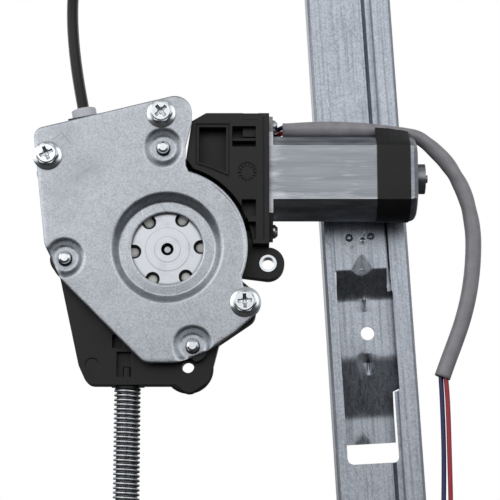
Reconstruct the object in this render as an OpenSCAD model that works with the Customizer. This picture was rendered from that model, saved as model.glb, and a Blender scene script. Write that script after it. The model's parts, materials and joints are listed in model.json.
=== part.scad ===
/* [Cover plate] */
// Thickness of the stamped cover plate
plate_t = 1.5; // [1.2:0.1:1.8]
// Radius of the round opening in the cover plate
opening_r = 17.8; // [16:0.1:18.5]
// Radius of the flat ring round the opening
recess_flat_r = 23.8; // [22:0.1:24.5]
// Radius at which the recess meets the plate's face
recess_r = 26.6; // [26:0.1:27.5]
// How far the ring round the opening lies behind the plate's face
recess_depth = 4; // [3:0.1:4.2]
// Radius of the plate's round right-hand edge
plate_edge_r = 39.4; // [38.5:0.1:40.5]
// How far the three screw pads lie behind the plate's face
pad_depth = 2.6; // [2:0.1:3]
// Radius of the flat floor of a screw pad
pad_r = 6.5; // [6:0.1:7.5]
// Width of the pressed wall round a screw pad
pad_slope = 2.8; // [2:0.1:3]

/* [Screws] */
// Thread diameter of the cover screws and fixing screws
screw_d = 6; // [5:0.5:6]
// Flange diameter of a cover screw's head
screw_flange_d = 14; // [13:0.1:15]
// Width across flats of a cover screw's hexagon
screw_hex = 10.7; // [10:0.1:12]
// How far a fixing screw's domed tip stands out of its pad
tip_out = 4.2; // [2:0.1:5]
// Radius on which the three fixing screws lie
fixing_circle_r = 50; // [49:0.1:51]

/* [Drum] */
// Radius at which the lift cable winds on the drum
wind_r = 24.5; // [24:0.1:24.8]
// Diameter of the lift cable
cable_d = 1.5; // [1.2:0.1:1.6]
// Distance between neighbouring grooves of the drum
groove_pitch = 1.9; // [1.8:0.05:2]
// Number of grooves in the drum
groove_count = 4; // [4:1:4]
// Radius of the notched disc in front of the drum
disc_r = 19.5; // [19:0.1:21]
// Thickness of the notched disc
disc_t = 2; // [1.5:0.1:2]
// Number of notches round the disc
notch_count = 6; // [4:1:8]
// Width of a notch in the disc
notch_w = 7; // [4:0.1:8]
// Distance from the drum's axis to a notch's floor
notch_reach = 12.8; // [12:0.1:15]

/* [Gears] */
// Number of teeth on the worm wheel
wheel_teeth = 66; // [66:1:66]
// Module of the worm wheel's teeth
tooth_module = 1; // [0.98:0.01:1.01]
// Face width of the worm wheel
wheel_w = 7.4; // [6.5:0.1:7.6]
// Pitch radius of the worm
worm_pitch_r = 6.4; // [6.3:0.05:6.5]
// Length of the threaded worm
worm_len = 26; // [22:0.5:28]
// Radius of the axle pin
axle_r = 4; // [3.5:0.1:4.2]
// Radial running clearance of shafts in their bores
run_gap = 0.05; // [0.03:0.01:0.08]
// Wall thickness of the moulded housings
case_wall = 2.2; // [2:0.1:2.6]

/* [Motor] */
// Radius of the can's round top and bottom
can_r = 21.4; // [21:0.1:22]
// Distance between the can's two flats
can_flats = 33; // [32:0.1:34]
// Length of the can from its flange to its end
can_len = 72; // [70:0.5:76]
// Wall thickness of the can
can_wall = 1.6; // [1.4:0.1:1.8]
// Length of the bearing boss on the can's end
boss_len = 4.6; // [4:0.1:6]
// Radius of the bearing boss on the can's end
boss_r = 7.6; // [7:0.1:8]
// Radius of the armature's core
core_r = 12.6; // [12:0.1:13]
// Radius of the motor shaft
shaft_r = 2.5; // [2.5:0.1:2.8]
// Distance between the two motor screws
motor_screw_gap = 54; // [53:0.5:55]

/* [Harness] */
// Diameter of the grey sleeve
sleeve_d = 8; // [7.5:0.1:8.2]
// Diameter of each wire
wire_d = 2.4; // [2:0.1:2.6]

/* [Conduits] */
// Diameter of the conduit sheath
conduit_d = 5.8; // [5.5:0.1:6]
// Outer diameter of the spring on the lower conduit
spring_d = 13.2; // [12.5:0.1:14]
// Wire diameter of the spring
spring_wire = 1.7; // [1.4:0.1:1.8]
// Distance between the spring's turns
spring_pitch = 2.2; // [2:0.1:2.6]
// Number of turns of the spring
spring_turns = 26; // [20:1:28]

/* [Rail] */
// Angle by which the rail's top leans to the left
rail_tilt = 3.2; // [3.1:0.05:3.3]
// Thickness of the rail's sheet
rail_t = 1.2; // [1:0.1:1.4]
// Width of the rail over both side walls
rail_w = 44.4; // [44:0.1:45]
// Depth of the rail's side walls
rail_depth = 12; // [11.5:0.1:12.5]
// Distance from the fixing hole to the upper end of the channel
rail_up = 215; // [214:1:220]
// Distance from the fixing hole to the lower end of the channel
rail_down = 185; // [184:1:190]
// Length of the flat tongue beyond each end of the channel
tongue_len = 62; // [61:0.5:66]
// Thickness of the bracket's sheet
bracket_t = 1.4; // [1.2:0.1:1.6]
// Width of the bracket
bracket_w = 25.9; // [24:0.1:26]
// Diameter of the fixing holes in the bracket and the tongues
fixing_hole_d = 7; // [6.6:0.1:7.2]

/* [Pulleys and carrier] */
// Radius at which the lift cable lies in a pulley
pulley_r = 19; // [18.5:0.1:19.2]
// Width of a pulley
pulley_w = 7; // [6:0.1:7.4]
// Travel of the glass carrier
carrier_travel = 300; // [280:5:305]
// Height of the glass carrier's plate
carrier_h = 80; // [78:1:82]
// Distance between the two glass bolts' holes
glass_hole_gap = 50; // [40:1:54]
// Diameter of the glass bolts' holes
glass_hole_d = 6.6; // [6.4:0.1:7]

/* [Hidden] */
$fn = 48;
// Small distance by which a cutter passes the face it cuts
over = 0.5;
// Gap left between moving pieces of different bodies
move_gap = 0.3;
// Gap between pieces that sit together
seat_gap = 0.1;

// Depths along Y, from the cover plate's front face towards the back
disc_y = recess_depth + plate_t + 0.5;
drum_y = disc_y + disc_t + 0.2;
drum_w = groove_count * groove_pitch + 0.9;
floor_y = drum_y + drum_w + 0.4;
floor_t = 1.8;
driver_y = floor_y + floor_t + 0.2;
driver_plate_t = 1.5;
wheel_y = driver_y + driver_plate_t + 0.3;
motor_y = wheel_y + wheel_w / 2;
lid_y = wheel_y + wheel_w + 0.8;
lid_t = 2.4;
housing_y = 8;
block_y = 4;

// Gear sizes
wheel_r = tooth_module * wheel_teeth / 2;
wheel_tip_r = wheel_r + tooth_module;
tooth_pitch = PI * tooth_module;
motor_z = wheel_r + worm_pitch_r;
worm_tip_r = worm_pitch_r + 0.85 * tooth_module;
worm_root_r = worm_pitch_r - 1.2 * tooth_module;
wheel_case_r = wheel_tip_r + 1;
tube_bore_r = worm_tip_r + 0.7;
tube_r = tube_bore_r + case_wall;

// Places in the drive unit, from the drum's axis
flange_x = 50;
flange_t = 2;
can_x = flange_x + flange_t;
can_end_x = can_x + can_len;
ear_at = [49.4, -5.9];
ear_r = 8.1;
ear_y = [12.6, 20.4];
bush_r = 4.25;
bush_bore_r = 3.1;
top_screw = [-3.3, 67.1];
left_screw = [-59.1, 45.8];
right_screw = [38, -27.2];
fixing_angles = [92.6, 186, 284.8];
arm_angles = [fixing_angles[1], fixing_angles[2]];
lobe_hole = [10.4, -57.7];
lobe_hole_r = 2.9;
// Room kept round the lower hole in front of and behind its wall
hole_margin = 1;
upper_mouth = [-41.6, 66.2];
upper_lean = 11;
lower_mouth = [-19.4, -66.5];
groove_front_y = drum_y + groove_pitch / 2 + 0.45;
upper_feed_y = groove_front_y;
lower_feed_y = groove_front_y + (groove_count - 1) * groove_pitch;

// Places in the rail's own frame: X across, Z up along it, the fixing hole at zero
hole_at = [100.9, -35.1];
rail_y = 46;
plateau_y = 54;
foot_y = 62;
rail_left = 1 - rail_w / 2;
rail_right = 1 + rail_w / 2;
strand_x = 17.2;
strand_y = 52;
pulley_x = strand_x - pulley_r;
top_pulley_z = rail_up + 22;
bottom_pulley_z = -rail_down - 22;
pulley_pin_r = 3;
carrier_rest_z = -rail_down + 5 + carrier_h / 2;
carrier_y = rail_y + rail_depth + 2.2;
carrier_t = 2;
lip_w = 3.2;
channel_x = 14.2;

// A cylinder along Y
module ycyl(at, r, y0, y1) {
    translate([at[0], y1, at[1]]) rotate([90, 0, 0]) cylinder(r = r, h = y1 - y0);
}

// A cone along Y
module ycone(at, r0, r1, y0, y1) {
    translate([at[0], y0, at[1]]) rotate([-90, 0, 0]) cylinder(r1 = r0, r2 = r1, h = y1 - y0);
}

// A cylinder along X, at a place given as depth and height
module xcyl(at, r, x0, x1) {
    translate([x0, at[0], at[1]]) rotate([0, 90, 0]) cylinder(r = r, h = x1 - x0);
}

// An outline in the XZ plane, extruded along Y
module yplate(y0, y1) {
    translate([0, y1, 0]) rotate([90, 0, 0]) linear_extrude(y1 - y0) children();
}

// An outline given as depth and height, extruded along X
module xplate(x0, x1) {
    translate([x0, 0, 0]) multmatrix([[0, 0, 1, 0], [1, 0, 0, 0], [0, 1, 0, 0]])
        linear_extrude(x1 - x0) children();
}

// A box from its lowest to its highest corner
module span_box(low, high) {
    translate(low) cube(high - low);
}

// A ring turned about the Y axis from a profile of radius and depth
module yturn(profile) {
    rotate([-90, 0, 0]) rotate_extrude() polygon(profile);
}

// Point on a circle about the drum's axis
function polar(r, a) = [r * cos(a), r * sin(a)];

// A point in the XZ plane, placed at a depth
function deep(p, y) = [p[0], y, p[1]];

// Points along an arc
function arc(c, r, a0, a1, n) = [for (i = [0 : n]) c + polar(r, a0 + (a1 - a0) * i / n)];

// Points that round a polygon's corners, each corner given as x, z and radius
function unit(v) = v / norm(v);
function corner_points(p, q, s, r, n) =
    let(a = unit(p - q), b = unit(s - q), half = acos(max(-1, min(1, a * b))) / 2,
        cut = r / tan(half), c = q + unit(a + b) * (r / sin(half)),
        from = q + a * cut - c, to = q + b * cut - c,
        a0 = atan2(from[1], from[0]), turn = atan2(to[1], to[0]) - a0,
        short = turn > 180 ? turn - 360 : turn < -180 ? turn + 360 : turn)
    [for (i = [0 : n]) c + polar(r, a0 + short * i / n)];
function rounded(list, n = 6) =
    [for (i = [0 : len(list) - 1])
        let(k = len(list), p = list[(i + k - 1) % k], q = list[i], s = list[(i + 1) % k])
        each q[2] > 0
            ? corner_points([p[0], p[1]], [q[0], q[1]], [s[0], s[1]], q[2], n)
            : [[q[0], q[1]]]];
function sharp(points) = [for (p = points) [p[0], p[1], 0]];

// Puts the drive unit, drawn about the drum's axis, in the part's frame
module drive() {
    translate([-hole_at[0], -plateau_y - bracket_t / 2, -hole_at[1]]) children();
}

// Puts the rail's pieces, drawn upright about the fixing hole, in the part's frame
module on_rail() {
    translate([0, -plateau_y - bracket_t / 2, 0]) rotate([0, -rail_tilt, 0]) children();
}

// A point of the rail's frame in the drive unit's frame
function rail_point(x, z) = [
    hole_at[0] + x * cos(rail_tilt) - z * sin(rail_tilt),
    hole_at[1] + x * sin(rail_tilt) + z * cos(rail_tilt)];

// A tube of n sides along a list of points, closed at both ends
function tube_frame(p, i) =
    let(k = len(p), t = unit(p[min(i + 1, k - 1)] - p[max(i - 1, 0)]),
        side = unit(cross(t, abs(t[1]) > 0.9 ? [0, 0, 1] : [0, 1, 0])))
    [side, cross(t, side)];
module tube(p, r, n = 8) {
    rings = [for (i = [0 : len(p) - 1]) let(f = tube_frame(p, i))
        for (j = [0 : n - 1]) p[i] + (f[0] * cos(360 * j / n) + f[1] * sin(360 * j / n)) * r];
    last = (len(p) - 1) * n;
    faces = concat(
        [[for (j = [0 : n - 1]) j]],
        [for (i = [0 : len(p) - 2]) for (j = [0 : n - 1])
            [i * n + j, (i + 1) * n + j, (i + 1) * n + (j + 1) % n, i * n + (j + 1) % n]],
        [[for (j = [n - 1 : -1 : 0]) last + j]]);
    polyhedron(rings, faces, convexity = 6);
}

// Points of a cubic curve that leaves a along da and reaches b along db
function bend(a, da, b, db, n) = [for (i = [0 : n])
    let(t = i / n, s = 1 - t)
    a * pow(s, 3) + (a + da) * 3 * s * s * t + (b - db) * 3 * s * t * t + b * pow(t, 3)];

// Round points along a hand-laid cord, smoothed by averaging cubic stretches
function smooth(p, m) = [for (i = [0 : len(p) - 2]) for (k = [0 : m - 1])
    let(a = p[max(i - 1, 0)], b = p[i], c = p[i + 1], d = p[min(i + 2, len(p) - 1)], t = k / m)
    0.5 * (2 * b + (c - a) * t + (2 * a - 5 * b + 4 * c - d) * t * t
        + (3 * b - a - 3 * c + d) * t * t * t), p[len(p) - 1]];

// Harness route, from the gearbox's gland over the can and down to the connector
sleeve_route = [
    [57, 24.5, 65], [66, 24.5, 65], [76, 24.5, 65], [87, 24.5, 65], [98, 24.5, 65],
    [109, 24.5, 65], [117, 24.5, 65], [122, 24.5, 64.7], [126, 24.5, 62.6], [130, 24.5, 58.8],
    [134, 24.5, 54.2], [139, 24.5, 48.5], [144, 24.5, 40.5], [148, 24.5, 31.5],
    [150.5, 24.5, 21.5], [151.8, 24.5, 11], [151.6, 24.5, 0], [150.4, 24.5, -11],
    [148.6, 24.5, -22], [145.8, 24.5, -33], [142.4, 24.5, -43], [138.6, 24.5, -53],
    [135.6, 24.5, -61]];
blue_route = [
    [135, 25.1, -61.5], [135.2, 25.1, -67], [135.4, 25.1, -74], [135.6, 25.1, -84],
    [135.7, 25.1, -95], [135.6, 25.1, -106], [135.3, 24.9, -117], [134.9, 24.6, -128],
    [134.5, 24.5, -136]];
red_route = [
    [137.4, 23.8, -62.4], [137.7, 23.8, -67], [138, 23.8, -74], [138.2, 23.8, -84],
    [138.3, 23.8, -95], [138.4, 23.9, -106], [138.5, 24.1, -117], [138.5, 24.4, -128],
    [138.5, 24.5, -136]];
connector_top = [136.5, 24.5, -134];

// Outline of the cover plate, as corners with their radii and two stretches of arc
lobe_r = 7.9;
plate_outline = rounded(concat(
    [[-66.5, 59.3, 5], [11.8, 78.6, 8.6], [11.8, 62.5, 4], [8.8, 50.5, 4], [8.8, 41, 1.5]],
    sharp(arc([0, 0], plate_edge_r, 75, -22, 24)),
    sharp(arc(right_screw, lobe_r, 95, -40, 12)),
    [[33, -42, 3], [21.7, -49.9, 5], [5, -56.6, 8], [-10.5, -56.6, 8], [-51, -16.2, 14],
        [-59.8, 1.5, 10]]));

// Pressed wall between a flat and its rim: half a wave, as points of radius and depth
press_steps = 6;
function pressed(flat_r, rim_r, depth) = [for (i = [0 : press_steps]) let(u = i / press_steps)
    [flat_r + (rim_r - flat_r) * u, depth * (1 + cos(180 * u)) / 2]];

// Sheet with a round dish pressed into it about the Y axis, drawn as a profile
dish_rim = 1;
// The back of a pressed wall stands this far inside its front
press_back = 0.5;
module dish(flat_r, rim_r, inner_r, depth) {
    front = pressed(flat_r, rim_r, depth);
    yturn(concat([[inner_r, depth]], front, [[rim_r + dish_rim, 0], [rim_r + dish_rim, plate_t]],
        [for (i = [press_steps : -1 : 0]) front[i] + [-press_back, plate_t]],
        [[inner_r, depth + plate_t]]));
}

// Shallow line pressed beside the plate's arc, as its radius and its two angles
edge_line = [37.7, -20, 52];
edge_line_w = 0.35;
edge_line_depth = 0.25;
module drum_cover_plate() {
    color([0.66, 0.68, 0.72]) difference() {
        union() {
            difference() {
                yplate(0, plate_t) polygon(plate_outline);
                ycyl([0, 0], recess_r + dish_rim, -over, plate_t + over);
                for (a = fixing_angles)
                    ycyl(polar(fixing_circle_r, a), pad_r + pad_slope + dish_rim, -over, plate_t + over);
            }
            dish(recess_flat_r, recess_r, opening_r, recess_depth);
            for (a = fixing_angles) intersection() {
                translate(deep(polar(fixing_circle_r, a), 0))
                    dish(pad_r, pad_r + pad_slope, screw_d / 2 + 0.2, pad_depth);
                yplate(-over, pad_depth + plate_t + over) polygon(plate_outline);
            }
        }
        for (s = [top_screw, left_screw, right_screw])
            ycyl(s, screw_d / 2 + 0.2, -over, plate_t + over);
        rotate([90, 0, 0]) rotate([0, 0, edge_line[1]]) rotate_extrude(angle = edge_line[2] - edge_line[1])
            translate([edge_line[0], -edge_line_depth]) square([edge_line_w, 1]);
    }
}

// Hex-flange screw with a cross recess; its seat is at y = 0 and its shank runs along +Y
flange_edge = 0.6;
flange_rise = 1.5;
hex_top = 5.2;
hex_turn = 2;
cross_len = 6;
cross_w = 1.3;
cross_depth = 1.9;
module flange_screw(shank, turn) {
    difference() {
        union() {
            ycone([0, 0], screw_hex / 2 + 0.4, screw_flange_d / 2, -flange_rise, -flange_edge);
            ycyl([0, 0], screw_flange_d / 2, -flange_edge, 0);
            yplate(-hex_top, -flange_edge) rotate(hex_turn) circle(d = screw_hex / cos(30), $fn = 6);
            ycone([0, 0], screw_hex / 2 - 1, screw_hex / 2 - 0.3, -hex_top - 0.7, -hex_top);
            ycyl([0, 0], screw_d / 2, -1, shank);
        }
        for (a = [0, 90]) rotate([0, a + turn, 0])
            span_box([-cross_len / 2, -hex_top - 2, -cross_w / 2],
                [cross_len / 2, -hex_top + cross_depth, cross_w / 2]);
        ycone([0, 0], cross_w + 0.9, cross_w / 2, -hex_top - 1, -hex_top + cross_depth + 0.4);
    }
}

// Each cover screw stopped at its own angle
cross_turns = [42, 24, 8];
module cover_screws() {
    color([0.78, 0.79, 0.8])
        for (i = [0 : 2]) let(s = [top_screw, left_screw, right_screw][i])
            translate([s[0], 0, s[1]]) flange_screw(11, cross_turns[i]);
}

// Fixing screw: pan head at a given depth, domed tip in the plate's pad
head_r = 5.6;
head_t = 3.4;
arm_t = 4;
module fixing_screw(head_y) {
    tip = pad_depth - tip_out;
    ycyl([0, 0], screw_d / 2, tip + 1.2, head_y + over);
    ycone([0, 0], screw_d / 2 - 1.2, screw_d / 2 - 0.3, tip, tip + 0.6);
    ycone([0, 0], screw_d / 2 - 0.3, screw_d / 2, tip + 0.6, tip + 1.2);
    difference() {
        ycyl([0, 0], head_r, head_y, head_y + head_t);
        for (a = [0, 90]) rotate([0, a, 0])
            span_box([-3, head_y + 1.4, -0.55], [3, head_y + head_t + 1, 0.55]);
    }
}

// The first screw holds the drum housing alone, the others reach through the gearbox's arms
top_head_y = 11.4;
head_depths = [top_head_y, floor_y + arm_t, floor_y + arm_t];
module fixing_screws() {
    color([0.74, 0.75, 0.77])
        for (i = [0 : 2])
            translate(deep(polar(fixing_circle_r, fixing_angles[i]), 0)) fixing_screw(head_depths[i]);
}

// Outline of the drum housing behind the plate
housing_edge_r = 38;
housing_outline = rounded(concat(
    [[-57.5, 55.5, 6], [-38, 64.5, 1], [-4, 74.5, 6], [6, 71, 5], [7.5, 44, 4]],
    sharp(arc([0, 0], housing_edge_r, 72, -22, 18)),
    [[44.5, -22, 4], [43, -34.5, 6], [25.4, -46.5, 2], [20.6, -65, 5], [10.5, -71.5, 5],
        [4.6, -66.5, 2], [-38.4, -66.5, 5], [-42.8, -57, 8], [-52.3, -15, 8], [-65.5, 40, 6]]), 5);
chamber_r = 27;
mouth_block = 8;
seat_r = 4.6;
feed_hole_r = 1.7;

// Tangent point on the drum's left side, for a cable that runs to a mouth
function tangent_point(m) =
    let(a = atan2(m[1], m[0]), k = acos(wind_r / norm(m))) polar(wind_r, m[1] > 0 ? a + k : a - k);
shank_len = 9;
upper_along = [-sin(upper_lean), cos(upper_lean)];
upper_foot = upper_mouth - upper_along * shank_len;
lower_foot = lower_mouth + [0, shank_len];
upper_tangent = tangent_point(upper_foot);
lower_tangent = tangent_point(lower_foot);

// Straight round bar between two points
module bar(a, b, r) {
    d = b - a;
    translate(a) rotate([0, acos(d[2] / norm(d)), atan2(d[1], d[0])]) cylinder(r = r, h = norm(d));
}

// The upper mouth's block ends this far in front of the drum housing's back
mouth_step = 0.6;
module drum_housing() {
    up = [upper_mouth[0], upper_feed_y, upper_mouth[1]];
    low = [lower_mouth[0], lower_feed_y, lower_mouth[1]];
    color([0.09, 0.09, 0.1]) difference() {
        union() {
            yplate(housing_y, floor_y) polygon(housing_outline);
            ycyl([0, 0], chamber_r + case_wall + 0.8, plate_t, housing_y + 1);
            for (s = [top_screw, left_screw, right_screw]) ycyl(s, 6.2, plate_t, housing_y + 1);
            for (a = fixing_angles)
                ycyl(polar(fixing_circle_r, a), 7.6, pad_depth + plate_t, housing_y + 1);
            translate(up) rotate([0, -upper_lean, 0])
                span_box([-8, plate_t - upper_feed_y, -20], [8, floor_y - mouth_step - upper_feed_y, 0]);
            translate(low) span_box([-mouth_block, housing_y - lower_feed_y, 0], [mouth_block, 6.4, 16]);
        }
        ycyl([0, 0], chamber_r, plate_t - over, floor_y + over);
        for (s = [top_screw, left_screw, right_screw]) ycyl(s, screw_d / 2 + 0.05, 0, 12);
        for (a = fixing_angles)
            ycyl(polar(fixing_circle_r, a), screw_d / 2 + 0.2, pad_depth, floor_y + over);
        ycyl(polar(fixing_circle_r, fixing_angles[0]), head_r + 0.4, top_head_y, floor_y + over);
        ycyl(lobe_hole, lobe_hole_r, housing_y - over, floor_y + over);
        ycyl(lobe_hole, lobe_hole_r + hole_margin, 0, housing_y);
        xcyl([motor_y, motor_z], tube_r + 0.4, -26, 60);
        translate(up) rotate([0, -upper_lean, 0]) {
            translate([0, 0, -shank_len]) cylinder(r = seat_r, h = shank_len + over);
        }
        translate(low - [0, 0, over]) cylinder(r = seat_r, h = shank_len + over);
        bar(deep(upper_tangent, upper_feed_y), deep(upper_foot, upper_feed_y), feed_hole_r);
        bar(deep(lower_tangent, lower_feed_y), deep(lower_foot, lower_feed_y), feed_hole_r);
        span_box([-24.3, housing_y - over, -62.5], [-17.2, 11, -50.4]);
        span_box([-26.5, housing_y - over, -48.3], [-21.3, 12, -41.9]);
        ycyl([-36.3, -56.7], 3.4, housing_y - over, housing_y + 0.4);
    }
}

// Disc seen in the plate's opening, with rounded notches round its rim
// Each notch's wall leans in, so that it is narrower at the disc's back
notch_lean = 0.6;
notch_mid = notch_reach + notch_w / 2;
function notch_half(y) = notch_w / 2 - (y - disc_y) * notch_lean;
notch_turn = 4;
centre_r = 1.8;
centre_flare = 1.3;
module notched_disc() {
    color([0.76, 0.77, 0.79]) difference() {
        union() {
            ycyl([0, 0], disc_r, disc_y, disc_y + disc_t);
            ycyl([0, 0], 10.6, disc_y - 0.25, disc_y + 1);
            ycyl([0, 0], 6.3, disc_y - 0.5, disc_y + 1);
        }
        ycone([0, 0], centre_r + centre_flare, centre_r, disc_y - 0.5, disc_y + disc_t);
        ycyl([0, 0], centre_r, disc_y, disc_y + disc_t + over);
        for (i = [0 : notch_count - 1]) rotate([0, -i * 360 / notch_count - notch_turn, 0]) {
            ycone([notch_mid, 0], notch_half(disc_y - over), notch_half(disc_y + disc_t + over),
                disc_y - over, disc_y + disc_t + over);
            xplate(notch_mid, disc_r + 1) polygon([
                for (e = [[disc_y - over, -1], [disc_y - over, 1], [disc_y + disc_t + over, 1],
                    [disc_y + disc_t + over, -1]])
                [e[0], e[1] * notch_half(e[0])]]);
        }
    }
}

// Profile of a grooved rim: radius and depth, with one vee for each groove
groove_floor_r = wind_r - cable_d / 2 - 0.15;
drum_r = wind_r + 1;
module cable_drum() {
    color([0.86, 0.86, 0.84]) difference() {
        yturn(concat(
            [[9.6, drum_y], [drum_r, drum_y]],
            [for (i = [0 : groove_count - 1]) let(y = groove_front_y + i * groove_pitch)
                each [[drum_r, y - 0.93], [groove_floor_r, y - 0.82], [groove_floor_r, y + 0.82],
                    [drum_r, y + 0.93]]],
            [[drum_r, drum_y + drum_w], [9.6, drum_y + drum_w]]));
        for (i = [0 : 5]) rotate([0, i * 60, 0]) ycyl([16.5, 0], 3.4, drum_y + 2.4, drum_y + drum_w + over);
    }
}

module drum_cable_turns() {
    color([0.62, 0.62, 0.63])
        for (i = [1 : groove_count - 2])
            translate([0, groove_front_y + i * groove_pitch, 0])
                rotate([-90, 0, 0]) rotate_extrude() translate([wind_r, 0]) circle(d = cable_d);
}

hub_r = 9.5;
lug_w = 6;
module output_driver() {
    color([0.7, 0.7, 0.71]) difference() {
        union() {
            ycyl([0, 0], hub_r, drum_y + 0.1, driver_y + 0.1);
            ycyl([0, 0], 22, driver_y, driver_y + driver_plate_t);
            for (i = [0 : 2]) rotate([0, i * 120, 0])
                span_box([12, driver_y + 1, -lug_w / 2], [21, wheel_y + 4.6, lug_w / 2]);
        }
        ycyl([0, 0], axle_r + run_gap, drum_y - over, driver_y + driver_plate_t + over);
    }
}

// Rubber ring between driver and wheel, slotted for three lugs and three ribs
damper_in_r = 10.4;
damper_out_r = 25;
module rubber_damper() {
    color([0.12, 0.12, 0.12]) difference() {
        ycyl([0, 0], damper_out_r, wheel_y + 0.1, wheel_y + 4.9);
        ycyl([0, 0], damper_in_r, wheel_y, wheel_y + 6);
        for (i = [0 : 5]) rotate([0, i * 60, 0])
            span_box([11.6, wheel_y - over, -lug_w / 2 - 0.1], [26, wheel_y + 6, lug_w / 2 + 0.1]);
    }
}

// Toothed outline: each tooth has its root and tip corners computed from the module
tooth_root_half = 0.3 * tooth_pitch;
tooth_tip_half = 0.135 * tooth_pitch;
wheel_root_r = wheel_r - 1.2 * tooth_module;
wheel_outline = [for (i = [0 : wheel_teeth - 1]) let(a = 90 + 360 * i / wheel_teeth,
        da = atan(tooth_root_half / wheel_root_r), db = atan(tooth_tip_half / wheel_tip_r))
    each [polar(wheel_root_r, a - da), polar(wheel_tip_r, a - db), polar(wheel_tip_r, a + db),
        polar(wheel_root_r, a + da)]];
pocket_r = 25.4;
module worm_wheel() {
    ring = arc([0, 0], pocket_r / cos(180 / 48), 0, 352.5, 47);
    color([0.9, 0.88, 0.8]) union() {
        difference() {
            yplate(wheel_y, wheel_y + wheel_w) polygon(wheel_outline);
            yplate(wheel_y - over, wheel_y + 5.1) polygon(ring);
            yplate(wheel_y, wheel_y + wheel_w + over) circle(r = 6.6, $fn = 12);
        }
        difference() {
            yplate(wheel_y, wheel_y + 5.2) circle(r = 10.2, $fn = 12);
            yplate(wheel_y - over, wheel_y + 6) circle(r = 6.6, $fn = 12);
        }
        for (i = [0 : 2]) rotate([0, 60 + i * 120, 0])
            span_box([11.8, wheel_y, -lug_w / 2], [pocket_r + 1, wheel_y + 5.2, lug_w / 2]);
    }
}

module wheel_bush() {
    color([0.66, 0.52, 0.3]) difference() {
        yplate(wheel_y, wheel_y + wheel_w) circle(r = 6.5, $fn = 12);
        ycyl([0, 0], axle_r + run_gap, wheel_y - over, wheel_y + wheel_w + over);
    }
}

module axle_pin() {
    color([0.72, 0.72, 0.74]) {
        ycyl([0, 0], axle_r, drum_y + 0.2, lid_y + lid_t);
        ycyl([0, 0], 1.5, disc_y + 0.9, drum_y + 0.3);
        ycyl([0, 0], axle_r + 2, lid_y + lid_t, lid_y + lid_t + 1);
    }
}

// Outline of the joint between gearbox and can, as depth and height: the can's flats, an ear for each
// motor screw and room for the wire grommet
flange_ear_r = 5.4;
flange_mid = 20.5;
module flange_outline() {
    hull() {
        translate([motor_y, motor_z]) square([can_flats, 2 * flange_mid], center = true);
        for (s = [-1, 1]) translate([motor_y, motor_z + s * motor_screw_gap / 2]) circle(r = flange_ear_r);
        translate(grommet_at) circle(r = grommet_r + 1.6);
    }
}

// Outlines of the gearbox block: its front part clears the plate's round edge by an arc
block_arc_r = 42;
block_front = concat(
    [[12.6, 40.1], [8.9, 45.2], [11.7, 64.3], [18.7, 68.4], [flange_x, 68.4], [flange_x, 2.5]],
    arc([0, 0], block_arc_r, 3.4, 72.5, 16));
block_back = [[8.9, 36], [8.9, 45.2], [11.7, 64.3], [18.7, 68.4], [flange_x, 68.4],
    [flange_x, 2.5], [34, 2.5], [30, 20]];
lid_screw_angles = [165, 209, 253, 308, 352];
lid_screw_r = wheel_case_r + 4;
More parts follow.
